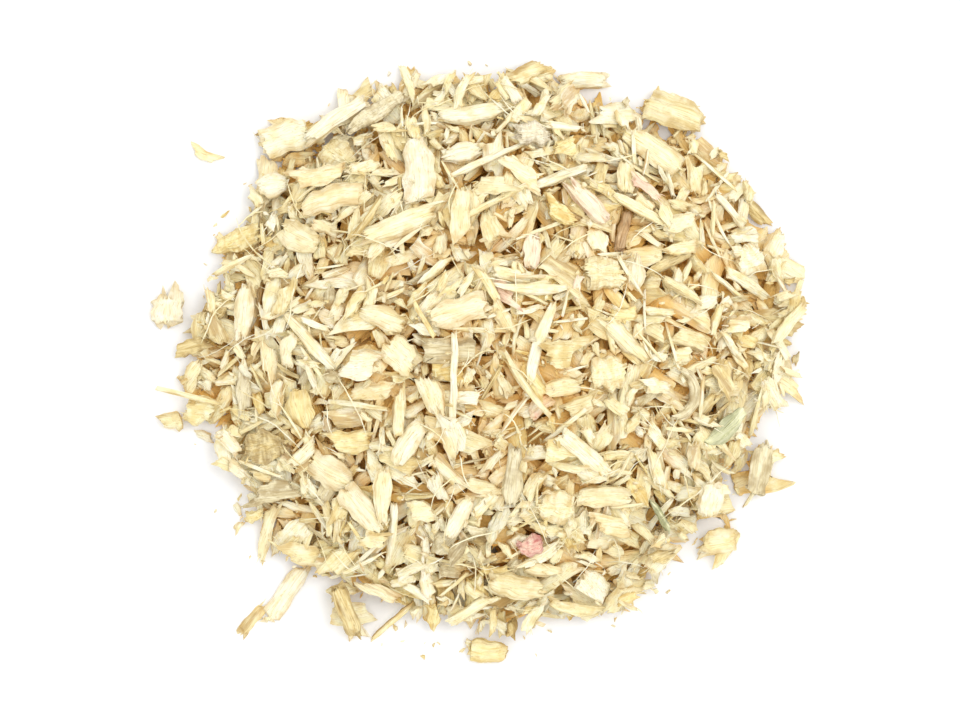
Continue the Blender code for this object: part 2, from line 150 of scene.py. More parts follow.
# Kinds of chip: median length, spread of lengths, shortest and longest, width as a share of length,
# thickness as a share of width, and how much the tips narrow
KINDS = {
    "flake": (5.8, 0.32, 2.6, 10.0, (0.46, 0.84), (0.18, 0.36), (0.0, 0.5)),
    "plank": (6.6, 0.30, 3.2, 11.0, (0.24, 0.44), (0.34, 0.70), (0.0, 0.45)),
    "chunk": (3.9, 0.26, 2.2, 6.4, (0.60, 0.95), (0.42, 0.75), (0.00, 0.45)),
    "splinter": (7.0, 0.36, 3.0, 14.0, (0.07, 0.16), (0.70, 1.00), (0.10, 0.70)),
}
KIND_SHARES = {"flake": 0.50, "plank": 0.28, "chunk": 0.15, "splinter": 0.07}
THINNEST = 0.45
THICKEST = 2.5
WIDEST = 5.4

# Tones: share of the loose chips, then the light, middle and dark screen colours of the wood's grain,
# the colour of its spots, and of its skin, also used for its torn ends and the painted shade of its side
# edges
TONES = {
    "pale": (0.415, (250, 247, 228), (249, 244, 213), (244, 235, 190), (241, 221, 156), (194, 154, 84)),
    "cream": (0.27, (250, 244, 213), (247, 239, 195), (240, 225, 169), (236, 212, 142), (190, 148, 80)),
    "tan": (0.125, (248, 240, 205), (243, 231, 183), (229, 210, 151), (220, 192, 122), (178, 140, 76)),
    "peach": (0.095, (250, 245, 214), (249, 239, 198), (242, 225, 170), (236, 211, 148), (194, 152, 88)),
    "amber": (0.04, (250, 241, 196), (245, 229, 168), (232, 205, 132), (218, 180, 98), (182, 140, 68)),
    "bark": (0.02, (240, 223, 172), (222, 198, 136), (186, 154, 92), (158, 122, 64), (134, 102, 54)),
    "grey_bark": (0.032, (242, 233, 202), (230, 217, 176), (201, 182, 137), (174, 150, 104), (150, 124, 80)),
    "speckled": (0.0, (248, 241, 218), (238, 226, 193), (212, 192, 150), (156, 128, 86), (140, 114, 74)),
    "brown": (0.0, (226, 196, 152), (200, 162, 114), (154, 113, 72), (132, 94, 60), (118, 84, 52)),
    "pink": (0.003, (251, 242, 216), (248, 233, 200), (240, 214, 172), (238, 186, 166), (190, 144, 106)),
    "red": (0.0, (250, 232, 206), (240, 196, 174), (204, 112, 106), (192, 74, 84), (164, 84, 78)),
    "green": (0.0, (246, 243, 208), (232, 230, 184), (194, 193, 142), (140, 144, 100), (122, 124, 86)),
}

# Chips of the heap's surface that have no node: middle x and y, length, width, heading in degrees
PLACED = (
    (-27.5, 32.5, 9.3, 3.8, 10, "plank", "peach"),
    (2.4, 30.4, 5.9, 3.8, 0, "flake", "tan"),
    (7.7, 32.9, 7.3, 3.5, -30, "flake", "peach"),
    (8.6, 50.4, 6.3, 3.8, 20, "flake", "tan"),
    (15.0, 37.4, 3.8, 3.5, 30, "chunk", "amber"),
    (29.2, 30.1, 5.6, 2.4, -38, "flake", "pink"),
    (14.2, 25.9, 4.9, 4.0, -20, "chunk", "amber"),
    (2.1, 23.3, 5.6, 3.3, -70, "flake", "tan"),
    (35.2, 19.6, 6.3, 3.1, 5, "flake", "cream"),
    (43.9, 26.4, 7.3, 1.9, -52, "plank", "pale"),
    (17.1, 12.9, 4.0, 1.9, 85, "flake", "pink"),
    (35.2, 12.6, 8.0, 2.3, -30, "plank", "tan"),
    (46.9, 13.5, 9.8, 2.1, -32, "plank", "pale"),
    (-32.7, 2.1, 6.3, 3.3, 80, "flake", "peach"),
    (-19.8, -0.3, 5.4, 5.4, 0, "chunk", "pale"),
    (-18.2, -5.2, 7.3, 3.5, 12, "flake", "peach"),
    (-7.3, -5.9, 6.3, 4.0, -70, "plank", "cream"),
    (-13.6, -8.9, 7.9, 2.4, 88, "plank", "cream"),
    (-16.4, -22.9, 9.8, 3.8, 88, "flake", "cream"),
    (23.4, -28.5, 7.0, 4.5, -5, "flake", "peach"),
    (14.2, 1.4, 5.6, 5.4, 0, "flake", "tan"),
    (30.4, -4.0, 4.9, 3.0, 0, "chunk", "pale"),
    (42.7, -3.0, 5.9, 3.7, -60, "flake", "tan"),
    (45.3, 6.5, 4.9, 3.8, 0, "chunk", "pale"),
    (17.5, -7.2, 5.4, 3.3, 15, "plank", "tan"),
    (37.3, -16.3, 4.7, 2.8, 80, "chunk", "pale"),
    (31.7, -26.9, 8.0, 1.6, -55, "splinter", "green"),
    (-39.4, -45.0, 6.1, 2.4, 52, "flake", "tan"),
    (-1.4, -43.2, 10.0, 2.4, 28, "plank", "cream"),
    (20.3, -38.8, 5.8, 4.7, -50, "chunk", "pale"),
    (16.8, -42.9, 9.4, 2.8, -10, "plank", "tan"),
    (-39.2, -26.9, 3.5, 3.0, 0, "chunk", "amber"),
    (-35.2, -22.6, 7.2, 5.1, 5, "flake", "grey_bark"),
    (-49.9, 2.6, 7.2, 3.5, 15, "flake", "bark"),
    (-48.5, -8.4, 5.6, 4.9, 0, "chunk", "cream"),
    (-53.5, -10.5, 3.8, 3.5, 0, "chunk", "tan"),
    (-14.9, -29.7, 12.8, 1.4, 81, "splinter", "pale"),
    (-50.4, -5.9, 14.0, 0.9, -12, "splinter", "cream"),
    (33.4, 3.5, 11.7, 0.7, -75, "splinter", "pale"),
    (-19.8, -34.8, 9.6, 0.7, 28, "splinter", "pale"),
    (-17.8, -30.6, 4.0, 3.3, 0, "chunk", "cream"),
    (-9.8, -25.5, 4.2, 4.2, 0, "chunk", "cream"),
    (-15.2, -45.5, 9.8, 1.4, 44, "splinter", "cream"),
    (-17.3, -39.9, 6.8, 2.8, -30, "flake", "peach"),
    (27.1, 37.3, 7.0, 0.9, 90, "splinter", "pale"),
    (-22.0, -13.3, 7.2, 4.7, 0, "flake", "amber"),
    (-47.8, 36.2, 4.4, 2.1, -20, "chunk", "cream"),
    (42.0, 24.2, 9.6, 0.8, -65, "splinter", "pale"),
    (41.7, 30.5, 7.0, 0.7, 55, "splinter", "pale"),
    (39.0, 22.4, 5.8, 0.8, -87, "splinter", "pale"),
    (41.3, 33.2, 10.5, 0.8, -40, "splinter", "pale"),
    (41.0, 24.9, 6.0, 1.0, 90, "splinter", "cream"),
    (29.2, 34.8, 5.2, 0.5, 80, "splinter", "pale"),
    (33.4, 31.1, 4.8, 1.0, -75, "splinter", "pale"),
    (32.2, 32.6, 3.6, 0.8, -66, "splinter", "pale"),
)

# How finely a chip is made: stations along it and points round it, by how much of it shows
FINE = (10, 16)
PLAIN = (7, 12)
ROUGH = (4, 8)
PLACED_DETAIL = (16, 26)
NAMED_DETAIL = (26, 40)
CRUMB_DETAIL = (3, 6)
EDGE_KNOTS = 7
# Painted shade: how much darker each chip's side edges are made, where shade falls between chips
SIDE_PAINTED_SHADE = 0.8
LUMPS_ALONG = 6
LUMPS_ROUND = 8
LUMP = 0.17
LUMP_SHARE = 0.07
LUMP_WIDTH = 2.5
SHOWS_WELL = 40
BURIED = 2.5
MOST_TRIANGLES = 180000
BATCH = 400

# Named chips: those of an unusual form or material, how each is followed, and how uneven it is made
CURLED = ("fibre_curl",)
TURNED = ("split_block",)
CRUMBLY = (
    "bark_cup", "grey_bark_chunk", "crumbly_chunk", "tan_chunk", "bark_shard", "bark_point", "pale_cluster",
    "tan_scale", "red_chip", "triangle_flake",
)
CRUMBLY_LUMP = 1.5
CRUMBLY_GRIT = 0.04
CRUMBLY_GRAIN = 3.0
NAMED_LOOKS = {"grey_bark_chunk": "speckled"}
NAMED_REACH = 0.96
LINE_BINS = 6
NEAR_BIN = 0.06
RIDGE = 0.045
NAMED_KNOTS = 7
NAMED_WANDER = 0.10
NAMED_LUMP = 0.16
MOST_DENT = 0.4

# Fibres and crumbs
HAIRY = 0.3
HAIR_RADIUS = (0.05, 0.11)
FIBRE_STATIONS = 9
FIBRE_OVER_KEPT = 0.25
FIBRE_TONES = ("pale", "pale", "cream", "pale", "tan")
CRUMB_REACH = 53.0

# The form of a loose chip: a pair is a range, a single value mostly the spread of a normal draw. They are
# shares of its length, width or thickness, but twist is in radians, fray_width in mm and skinned a chance
SHAPE = {
    "tip_power": (1.6, 3.2), "thinning": (0.1, 0.5), "thin_power": 2.5, "wedge": 0.12, "edge_cut": 0.38,
    "ridges": (0.01, 0.05), "chatter": 0.018, "radius": (0.3, 1.25), "bow": 0.10, "long_bow": 0.012,
    "skew": 0.14, "arch": 0.16, "twist": 0.10, "fray": (0.1, 0.75), "fray_width": 3.0, "torn": 0.5,
    "slant": 0.6, "reach": 0.97, "cap": (-0.1, 0.25), "skinned": 0.22,
}
END_FROM = 0.75
NAMED_END_FROM = 0.8
TORN_TINT = 0.7
GRAIN_OFFSET = 60

# The wood's textures: stretch along the grain, scale, detail and distortion. Their shares in its
# lightness, where its tones lie, and how strong and how deep (in mm) its relief is
STREAKS = ((0.16, 1.0, 1.0), 1.2, 4, 0.3)
FIBROUS = ((0.08, 1.0, 1.0), 3.2, 3)
HAIRLINES = ((0.05, 1.0, 1.0), 5.5, 2, 0.15)
SPECKS = ((0.5, 1.0, 1.0), 1.9, 2)
CRUMPLES = ((0.45, 1.0, 1.0), 0.75, 3, 0.4)
PATCHES = (0.42, 4)
STREAK_SHARE, FIBRE_SHARE, CHANCE_SHARE = 0.40, 0.36, 0.24
DARK_AT, MIDDLE_AT, LIGHT_AT = 0.14, 0.44, 0.80
HAIRLINE_TINT = 0.42
SPECK_TINT = 0.35
CRUMPLE_BUMP = (0.85, 0.5)
GRAIN_BUMP = (0.9, 0.25)

# Floor, light and camera, in metres
FLOOR_SIDE = 8.0
FLOOR_DROP = 0.02
FLOOR_COLOURS = ((0.94, 0.95, 0.98, 1.0), (0.96, 0.97, 1.0, 1.0))
SKY_COLOUR = (0.99, 0.99, 0.975, 1.0)
SKY_STRENGTH = 1.14
KEY_SIZE = 0.5
KEY_WATTS = 3.2
KEY_COLOUR = (1.0, 0.99, 0.96)
KEY_PLACE = (0.32, 0.18, 1.0)
SENSOR = 36.0
CAMERA_HEIGHT = 1.2
SEEN_WIDTH = 0.168
AIM = (0.00035, 0.002)
EXPOSED = 0.98


def rng_for(purpose):
    """A random source of its own for each purpose, so that one can change without the others."""
    return np.random.default_rng([SEED, *purpose.encode()])


def spot(value):
    """The height map's row or column of a place."""
    return np.clip(np.rint((np.asarray(value) + REACH) / CELL).astype(int), 0, SIDE - 1)


def place_of(index):
    return index * CELL - REACH


def outline_at(x, y):
    """How far the heap reaches in the direction of a place."""
    turn = np.degrees(np.arctan2(y, x)) % 360
    return np.interp(turn, np.arange(len(OUTLINE) + 1) * 360 / len(OUTLINE), OUTLINE + OUTLINE[:1])


def blurred(level, half):
    """The mean of a map over a square of places."""
    for axis in (0, 1):
        level = sum(np.roll(level, step, axis) for step in range(-half, half + 1)) / (2 * half + 1)
    return level


# Resting points of a chip, from -1 to 1 along and across it, and how its underside rises at each
UNIT_U, UNIT_V = (
    part.ravel() * EDGE_SHARE for part in np.meshgrid(np.linspace(-1, 1, 7), np.linspace(-1, 1, 4))
)
UNIT_V = UNIT_V * (1 - TAPER * np.abs(UNIT_U) ** 3)
UNIT_ROUND = (1 - WORN_SIDE * UNIT_V ** 2) * (1 - WORN_END * UNIT_U ** 4)
PLANE_FIT = np.linalg.pinv(np.stack([np.ones_like(UNIT_U), UNIT_U, UNIT_V], axis=1))
TILT_ROUNDS = [
    tuple(part.ravel() for part in np.meshgrid(*tilts)) for tilts in (FIRST_TILTS, FINER_TILTS)
]


def spread(level, passes, fall, pick):
    """Carries the highest or lowest heights of a map outwards, less the fall for each place."""
    for _ in range(passes):
        for axis in (0, 1):
            for step in (-1, 1):
                level = pick(level, np.roll(level, step, axis) - fall)
    return level


def solid_of(node):
    """A frame node's points in mm and its faces for ray casts."""
    mesh = frame["nodes"][node].data
    points = np.empty(len(mesh.vertices) * 3)
    mesh.vertices.foreach_get("co", points)
    points = points.reshape(-1, 3) / MM
    faces = [tuple(face.vertices) for face in mesh.polygons]
    return points, BVHTree.FromPolygons(points.tolist(), faces)


def top_of(tree, x, y):
    hit = tree.ray_cast(Vector((x, y, NO_LIMIT)), Vector((0, 0, -1)))[0]
    return hit.z if hit else None


def bottom_of(tree, x, y):
    hit = tree.ray_cast(Vector((x, y, -NO_LIMIT)), Vector((0, 0, 1)))[0]
    return hit.z if hit else None


def softened(level, passes):
    """Averages each place of the mound with its neighbours on the mound."""
    on = (level > 0).astype(float)
    for _ in range(passes):
        total, weight = level * on, on.copy()
        for axis in (0, 1):
            for step in (-1, 1):
                total = total + np.roll(level * on, step, axis)
                weight = weight + np.roll(on, step, axis)
        level = np.where(on > 0, total / np.maximum(weight, 1), 0)
    return level


def mound_level():
    """The height of the frame's mound over the floor at each place, with its single chips smoothed away."""
    _, tree = solid_of(MOUND)
    line = np.arange(-REACH, REACH + COARSE / 2, COARSE)
    level = np.array([[top_of(tree, x, y) or 0.0 for y in line] for x in line])
    level = softened(level, SOFTEN_PASSES)
    fine = place_of(np.arange(SIDE))
    level = np.array([np.interp(fine, line, row) for row in level])
    level = np.array([np.interp(fine, line, column) for column in level.T]).T
    x, y = np.meshgrid(fine, fine, indexing="ij")
    return np.where(np.hypot(x, y) < outline_at(x, y) - EDGE_INSET, level, 0)


class Ground:
    """Heights over the floor on a square grid, what shows there, and how high a chip may reach there."""

    def __init__(self):
        self.top = np.zeros((SIDE, SIDE))
        self.ceiling = np.full((SIDE, SIDE), BOX_TOP)
        self.owner = np.full((SIDE, SIDE), FLOOR)
        self.named_top = np.zeros((SIDE, SIDE))
        self.kept = np.zeros((SIDE, SIDE), bool)
        self.chips = []

    def mark_named(self, points, tree):
        """Notes the upper and under side of a chip that the frame has as a node."""
        low, high = spot(points.min(0)), spot(points.max(0))
        for i in range(low[0], high[0] + 1):
            for j in range(low[1], high[1] + 1):
                top = top_of(tree, place_of(i), place_of(j))
                if top is not None:
                    under = bottom_of(tree, place_of(i), place_of(j))
                    self.ceiling[i, j] = min(self.ceiling[i, j], under)
                    self.named_top[i, j] = max(self.named_top[i, j], top)

    def lay_named(self):
        """From here on, chips may lie on the named ones."""
        on = self.named_top > self.top
        self.top[on] = self.named_top[on]
        self.owner[on] = NAMED
        self.kept |= self.named_top > 0
        self.ceiling[:] = BOX_TOP

    def settle(self, x, y, heading, size):
        """The chip's lowest rest at a place: its underside's middle, and its rise to its tip and its side."""
        length, width, thickness = size
        cos, sin = math.cos(heading), math.sin(heading)
        u, v = UNIT_U * length / 2, UNIT_V * width / 2
        rows, columns = spot(x + cos * u - sin * v), spot(y + sin * u + cos * v)
        under = self.top[rows, columns] - thickness / 2 * (1 - UNIT_ROUND)
        _, along, across = PLANE_FIT @ under
        for more_along, more_across in TILT_ROUNDS:
            alongs = np.clip(along + more_along, -MAX_SLOPE * length / 2, MAX_SLOPE * length / 2)
            acrosses = np.clip(across + more_across, -MAX_SLOPE * width / 2, MAX_SLOPE * width / 2)
            rises = alongs[:, None] * UNIT_U + acrosses[:, None] * UNIT_V
            middles = np.partition(under - rises, -CONTACT_RANK, axis=1)[:, -CONTACT_RANK]
            best = middles.argmin()
            middle, along, across = middles[best], alongs[best], acrosses[best]
        return (middle, along, across), rows, columns

    def fits(self, rest, size, rows, columns):
        """Whether the chip stays under the named chips and the frame's top."""
        middle, along, across = rest
        top = middle + along * UNIT_U + across * UNIT_V + size[2] / 2 * (1 + UNIT_ROUND) * lean_of(rest, size)
        return bool((top <= self.ceiling[rows, columns] + PRESSED_IN).all())

    def covers_kept(self, rows, columns):
        return self.kept[rows, columns].mean() > MOST_COVERED

    def add(self, x, y, heading, size, rest, kind, tone, keep=False, detail=None):
        """Lays the chip down: the map rises where it lies, and it shows there."""
        length, width, thickness = size
        middle, along, across = rest
        half = math.hypot(length, width) / 2
        i0, i1 = spot(x - half), spot(x + half) + 1
        j0, j1 = spot(y - half), spot(y + half) + 1
        dx = place_of(np.arange(i0, i1))[:, None] - x
        dy = place_of(np.arange(j0, j1))[None, :] - y
        u = (math.cos(heading) * dx + math.sin(heading) * dy) / (length / 2)
        v = (-math.sin(heading) * dx + math.cos(heading) * dy) / (width / 2)
        inside = (np.abs(u) <= 1) & (np.abs(v) <= 1 - TAPER * np.abs(u) ** 3)
        body = (1 - WORN_SIDE * v ** 2) * (1 - WORN_END * u ** 4)
        top = middle + along * u + across * v + thickness / 2 * (1 + body) * lean_of(rest, size)
        shows = inside & (top > self.top[i0:i1, j0:j1])
        self.top[i0:i1, j0:j1][shows] = top[shows]
        self.owner[i0:i1, j0:j1][shows] = len(self.chips)
        if keep:
            self.kept[i0:i1, j0:j1] |= inside
        self.chips.append((x, y, heading, size, rest, kind, tone, detail))


def raised(ground, level):
    """The level, raised to the underside of the named chips: widely inside the heap, narrowly at its rim."""
    under = np.where(ground.named_top > 0, ground.ceiling, 0)
    x, y = np.meshgrid(place_of(np.arange(SIDE)), place_of(np.arange(SIDE)), indexing="ij")
    inner = np.hypot(x, y) < outline_at(x, y) - SUPPORT_MARGIN
    wide = spread(np.where(inner, under, 0), SUPPORT_REACH, SUPPORT_FALL, np.maximum)
    return np.maximum(level, np.maximum(wide, spread(under, SUPPORT_INSET, 0.0, np.minimum)))


def lean_of(rest, size):
    """How much taller a tilted chip is, measured straight up."""
    return math.sqrt(1 + (2 * rest[1] / size[0]) ** 2 + (2 * rest[2] / size[1]) ** 2)


def in_box(x, y, heading, size):
    """Whether a chip stays in the frame's box, seen from above."""
    reach_x = abs(math.cos(heading)) * size[0] / 2 + abs(math.sin(heading)) * size[1] / 2
    reach_y = abs(math.sin(heading)) * size[0] / 2 + abs(math.cos(heading)) * size[1] / 2
    inside_x = BOX_LOW[0] < x - reach_x and x + reach_x < BOX_HIGH[0]
    return inside_x and BOX_LOW[1] < y - reach_y and y + reach_y < BOX_HIGH[1]


def size_of(kind, draw, scale=1.0):
    median, scatter, shortest, longest, widths, thicknesses, _ = KINDS[kind]
    length = float(np.clip(median * math.exp(draw.normal(0, scatter)), shortest, longest)) * scale
    width = min(length * draw.uniform(*widths), WIDEST)
    thickness = float(np.clip(width * draw.uniform(*thicknesses), THINNEST, THICKEST))
    return length, width, thickness


def any_kind(draw):
    return str(draw.choice(list(KIND_SHARES), p=list(KIND_SHARES.values())))


def any_tone(draw):
    shares = np.array([tone[0] for tone in TONES.values()])
    return str(draw.choice(list(TONES), p=shares / shares.sum()))


def lay_if_free(ground, draw, place, size, kind, limit=NO_LIMIT):
    """Lays a chip that stays in the box, under its limit and the named chips, and off the kept ones."""
    if not in_box(*place, size):
        return
    rest, rows, columns = ground.settle(*place, size)
    if rest[0] + size[2] > limit or ground.covers_kept(rows, columns):
        return
    if ground.fits(rest, size, rows, columns):
        ground.add(*place, size, rest, kind, any_tone(draw))


def fill(ground, level):
    """Fills the mound from the floor up to its surface, and leaves room under the named chips."""
    draw = rng_for("fill")
    inside = np.argwhere(level > HEAP_EDGE)
    for _ in range(FILL_TRIES):
        kind = any_kind(draw)
        size = size_of(kind, draw)
        looks = inside[draw.integers(len(inside), size=LOOKS)]
        limit = np.minimum(level, ground.ceiling)[looks[:, 0], looks[:, 1]]
        room = limit - ground.top[looks[:, 0], looks[:, 1]]
        i, j = looks[room.argmax()]
        if room.max() < size[2] * ENOUGH_ROOM:
            continue
        place = place_of(i), place_of(j), draw.uniform(0, math.pi)
        lay_if_free(ground, draw, place, size, kind, level[i, j] + FILL_SLACK)


def lay_bed(ground, level):
    """Small flat chips on the floor, so that no floor shows through where the heap is thin."""
    draw = rng_for("bed")
    for number in range(BED_TRIES):
        if number % BED_BATCH == 0:
            bare = np.argwhere((level > HEAP_EDGE) & (level < BED_DEPTH) & (ground.owner == FLOOR))
        if not len(bare):
            break
        kind = str(draw.choice(("flake", "chunk", "plank")))
        size = size_of(kind, draw, draw.uniform(*BED_SCALES))
        size = (size[0], size[1], min(size[2], BED_THICKNESS))
        i, j = bare[draw.integers(len(bare))]
        place = place_of(i), place_of(j), draw.uniform(0, math.pi)
        if ground.owner[i, j] == FLOOR:
            lay_if_free(ground, draw, place, size, kind)


def level_off(ground, level, tries, scales, purpose):
    """Lays smaller chips over the deepest gaps until the surface is as even as a real heap's."""
    draw = rng_for(purpose)
    inside = np.argwhere(level > HEAP_EDGE)
    for _ in range(tries):
        looks = inside[draw.integers(len(inside), size=LEVEL_LOOKS)]
        rows, columns = looks[:, 0], looks[:, 1]
        room = np.minimum(level[rows, columns], ground.ceiling[rows, columns]) - ground.top[rows, columns]
        i, j = looks[room.argmax()]
        kind = any_kind(draw)
        size = size_of(kind, draw, draw.uniform(*scales))
        place = place_of(i), place_of(j), draw.uniform(0, math.pi)
        if room.max() >= size[2] * ENOUGH_ROOM:
            lay_if_free(ground, draw, place, size, kind, level[i, j] + LEVEL_SLACK)


def lay_placed(ground):
    """The chips that the heap's surface is known by, besides the named ones."""
    draw = rng_for("placed")
    for x, y, length, width, heading, kind, tone in PLACED:
        thickness = float(np.clip(width * draw.uniform(*KINDS[kind][5]), THINNEST, THICKEST))
        size = (length, width, thickness)
        rest, _, _ = ground.settle(x, y, math.radians(heading), size)
        ground.add(x, y, math.radians(heading), size, rest, kind, tone, keep=True, detail=PLACED_DETAIL)


def lay_on_top(ground, level, count, kinds, purpose):
    """Loose chips over the whole surface that leave the kept ones uncovered."""
    draw = rng_for(purpose)
    inside = np.argwhere(level > HEAP_EDGE)
    for _ in range(count):
        kind = str(draw.choice(kinds))
        size = size_of(kind, draw)
        looks = inside[draw.integers(len(inside), size=TOP_LOOKS)]
        i, j = looks[(level - ground.top)[looks[:, 0], looks[:, 1]].argmax()]
        place = place_of(i), place_of(j), draw.uniform(0, math.pi)
        lay_if_free(ground, draw, place, size, kind, level[i, j] + TOP_SLACK)


def lay_round_rim(ground):
    """Single chips on the floor round the heap, fewer with distance."""
    draw = rng_for("rim")
    for _ in range(RIM_CHIPS):
        angle = draw.uniform(0, 2 * math.pi)
        reach = outline_at(math.cos(angle), math.sin(angle))
        radius = reach - RIM_INSET + draw.normal(0, RIM_SPREAD)
        x, y = radius * math.cos(angle), radius * math.sin(angle)
        kind = any_kind(draw)
        size = size_of(kind, draw, scale=draw.uniform(*RIM_SCALES))
        lay_if_free(ground, draw, (x, y, draw.uniform(0, math.pi)), size, kind)


def frames_of(chips):
    """Each chip's middle and its own three directions, as it lies."""
    middles, turns = [], []
    for x, y, heading, size, rest, *_ in chips:
        slope_u, slope_v = 2 * rest[1] / size[0], 2 * rest[2] / size[1]
        ahead = np.array([math.cos(heading), math.sin(heading), slope_u])
        side = np.array([-math.sin(heading), math.cos(heading), slope_v])
        ahead /= np.linalg.norm(ahead)
        up = np.cross(ahead, side)
        up /= np.linalg.norm(up)
        turns.append(np.stack([ahead, np.cross(up, ahead), up], axis=1))
        middles.append((x, y, rest[0] + size[2] / 2 * lean_of(rest, size)))
    return np.array(middles), np.array(turns)


def outline_radii(draw, count, u, angles):
    """The sections of split wood: convex outlines of flat faces that drift along the chip, as radii."""
    base = np.radians([90, 270, 0, 180, 40, 220])
    face = base + draw.normal(0, 1, (count, 6)) * np.radians([9, 9, 22, 22, 30, 30])
    reach = np.concatenate(
        [draw.uniform(0.86, 1.0, (count, 4)), draw.uniform(0.80, 1.15, (count, 2))], axis=1)
    drift = draw.normal(0, 0.10, (count, 6))
    wave = draw.normal(0, 0.05, (count, 6))
    phase = draw.uniform(0, 2 * math.pi, (count, 6))
    stations = u[None, :, None]
    waved = wave[:, None] * np.sin(3 * stations + phase[:, None])
    reach = reach[:, None] * (1 + drift[:, None] * stations + waved)
    facing = np.maximum(np.cos(angles[None, :, None] - face[:, None]), 0.08)
    return (reach[:, :, None] / facing[:, None]).min(axis=-1)


def tents(u, knots):
    """How much each of some even knots counts at each place from -1 to 1."""
    return np.maximum(0, 1 - np.abs((u[:, None] + 1) / 2 * (knots - 1) - np.arange(knots)))


def lumps(draw, count, u, angles, size):
    """A smooth uneven field over each chip, along it and round it."""
    knots = draw.normal(0, size, (count, LUMPS_ALONG, LUMPS_ROUND))
    turn = angles[:, None] / (2 * math.pi) * LUMPS_ROUND - np.arange(LUMPS_ROUND)
    turn = (turn + LUMPS_ROUND / 2) % LUMPS_ROUND - LUMPS_ROUND / 2
    return np.einsum("sk,ckm,am->csa", tents(u, LUMPS_ALONG), knots, np.maximum(0, 1 - np.abs(turn)))


def rings_of(detail):
    """Places along a chip, from -1 to 1 and denser towards its tips, and the angles round it."""
    stations, around = detail
    along = np.sin(np.linspace(-1, 1, stations) * math.pi / 2)
    return stations, around, along, 2 * math.pi * (np.arange(around) + 0.5) / around


def ending(u, start):
    """From 0 at the start to 1 at a tip or an edge."""
    return np.clip((np.abs(u) - start) / (1 - start), 0, 1)


def loft(chips, detail, purpose):
    """Chips of split wood as rings of points along the grain, in place, with what their material reads."""
    draw = rng_for(purpose)
    count = len(chips)
    stations, around, u, angles = rings_of(detail)
    size = np.array([chip[3] for chip in chips])
    length, width, thickness = (size[:, k, None, None] for k in range(3))
    tips = np.array([draw.uniform(*KINDS[chip[5]][6], 2) for chip in chips])
    power = draw.uniform(*SHAPE["tip_power"], (count, 1))
    tip = np.where(u < 0, tips[:, :1], tips[:, 1:])
    narrow = (1 - tip * np.abs(u) ** power)[:, :, None]
    thin = (1 - draw.uniform(*SHAPE["thinning"], (count, 1)) * np.abs(u) ** SHAPE["thin_power"])[:, :, None]
    wedge = (1 + draw.normal(0, SHAPE["wedge"], (count, 1)) * u)[:, :, None]
    radius = outline_radii(draw, count, u, angles)
    edges = 1 - draw.uniform(0, SHAPE["edge_cut"], (count, 2, EDGE_KNOTS)) @ tents(u, EDGE_KNOTS).T
    radius = radius * np.where(np.cos(angles) < 0, edges[:, 0, :, None], edges[:, 1, :, None])
    ridges = draw.normal(0, 1, (count, 1, around)) * draw.uniform(*SHAPE["ridges"], (count, 1, 1))
    chatter = draw.normal(0, SHAPE["chatter"], (count, stations, around))
    uneven = 1 + ridges + chatter + lumps(draw, count, u, angles, LUMP_SHARE)
    radius = np.clip(radius * uneven, *SHAPE["radius"])
    y = radius * np.cos(angles) * narrow * width / 2
    z = radius * np.sin(angles) * thin * wedge * thickness / 2
    z = z + lumps(draw, count, u, angles, LUMP) * np.minimum(1, width / LUMP_WIDTH)
    bow = draw.normal(0, SHAPE["bow"], (count, 1)) * width[:, 0]
    bow = bow + draw.normal(0, SHAPE["long_bow"], (count, 1)) * length[:, 0]
    skew = draw.normal(0, SHAPE["skew"], (count, 1)) * width[:, 0]
    y = y + (bow * (u ** 2 - 0.5) + skew * u)[:, :, None]
    arch = draw.normal(0, SHAPE["arch"], (count, 1)) * thickness[:, 0]
    z = z + (arch * (0.5 - u ** 2))[:, :, None]
    twist = draw.normal(0, SHAPE["twist"], (count, 1)) * u
    cos, sin = np.cos(twist)[:, :, None], np.sin(twist)[:, :, None]
    y, z = y * cos - z * sin, y * sin + z * cos
    fray = draw.uniform(*SHAPE["fray"], (count, 2, 1)) * np.minimum(width, SHAPE["fray_width"]) / 2
    torn = draw.normal(0, SHAPE["torn"], (count, 2, around)) * fray
    slant = draw.normal(0, SHAPE["slant"], (count, 2, 1)) * np.cos(angles) * width / 2
    end = ending(u, END_FROM)[None, :, None] ** 2
    ends = np.where((u < 0)[None, :, None], (torn + slant)[:, :1], (torn + slant)[:, 1:])
    x = u[None, :, None] * length / 2 * SHAPE["reach"] + ends * end
    local = np.stack([x, y, z], axis=-1)
    caps = local[:, (0, -1)].mean(axis=2)
    caps[:, :, 0] += np.array([1, -1]) * draw.uniform(*SHAPE["cap"], (count, 2)) * thickness[:, 0]
    skin_side = draw.uniform(0, 2 * math.pi, (count, 1))
    skinned = draw.random((count, 1)) < SHAPE["skinned"]
    skin = np.clip((np.cos(angles - skin_side) - 0.35) / 0.3, 0, 1) * skinned
    skin = np.repeat(skin[:, None], stations, axis=1)
    local = np.concatenate([local.reshape(count, -1, 3), caps], axis=1)
    middles, turns = frames_of(chips)
    points = np.einsum("cij,cpj->cpi", turns, local) + middles[:, None]
    pad = np.zeros((count, 2))
    # Painted shade on each chip's side edges, joined with its darker torn ends
    edge = ending(np.cos(angles), END_FROM) * SIDE_PAINTED_SHADE
    tint = np.maximum(end * TORN_TINT, edge)
    torn_end_and_painted_shade = np.broadcast_to(tint, (count, stations, around)).reshape(count, -1)
    return {
        "points": points,
        "grain": local + draw.uniform(-GRAIN_OFFSET, GRAIN_OFFSET, (count, 1, 3)),
        "chance": np.repeat(draw.random((count, 1)), local.shape[1], axis=1),
        "skin": np.concatenate([skin.reshape(count, -1), pad], axis=1),
        "torn": np.concatenate([torn_end_and_painted_shade, pad + 1], axis=1),
        **faces_of(stations, around),
    }


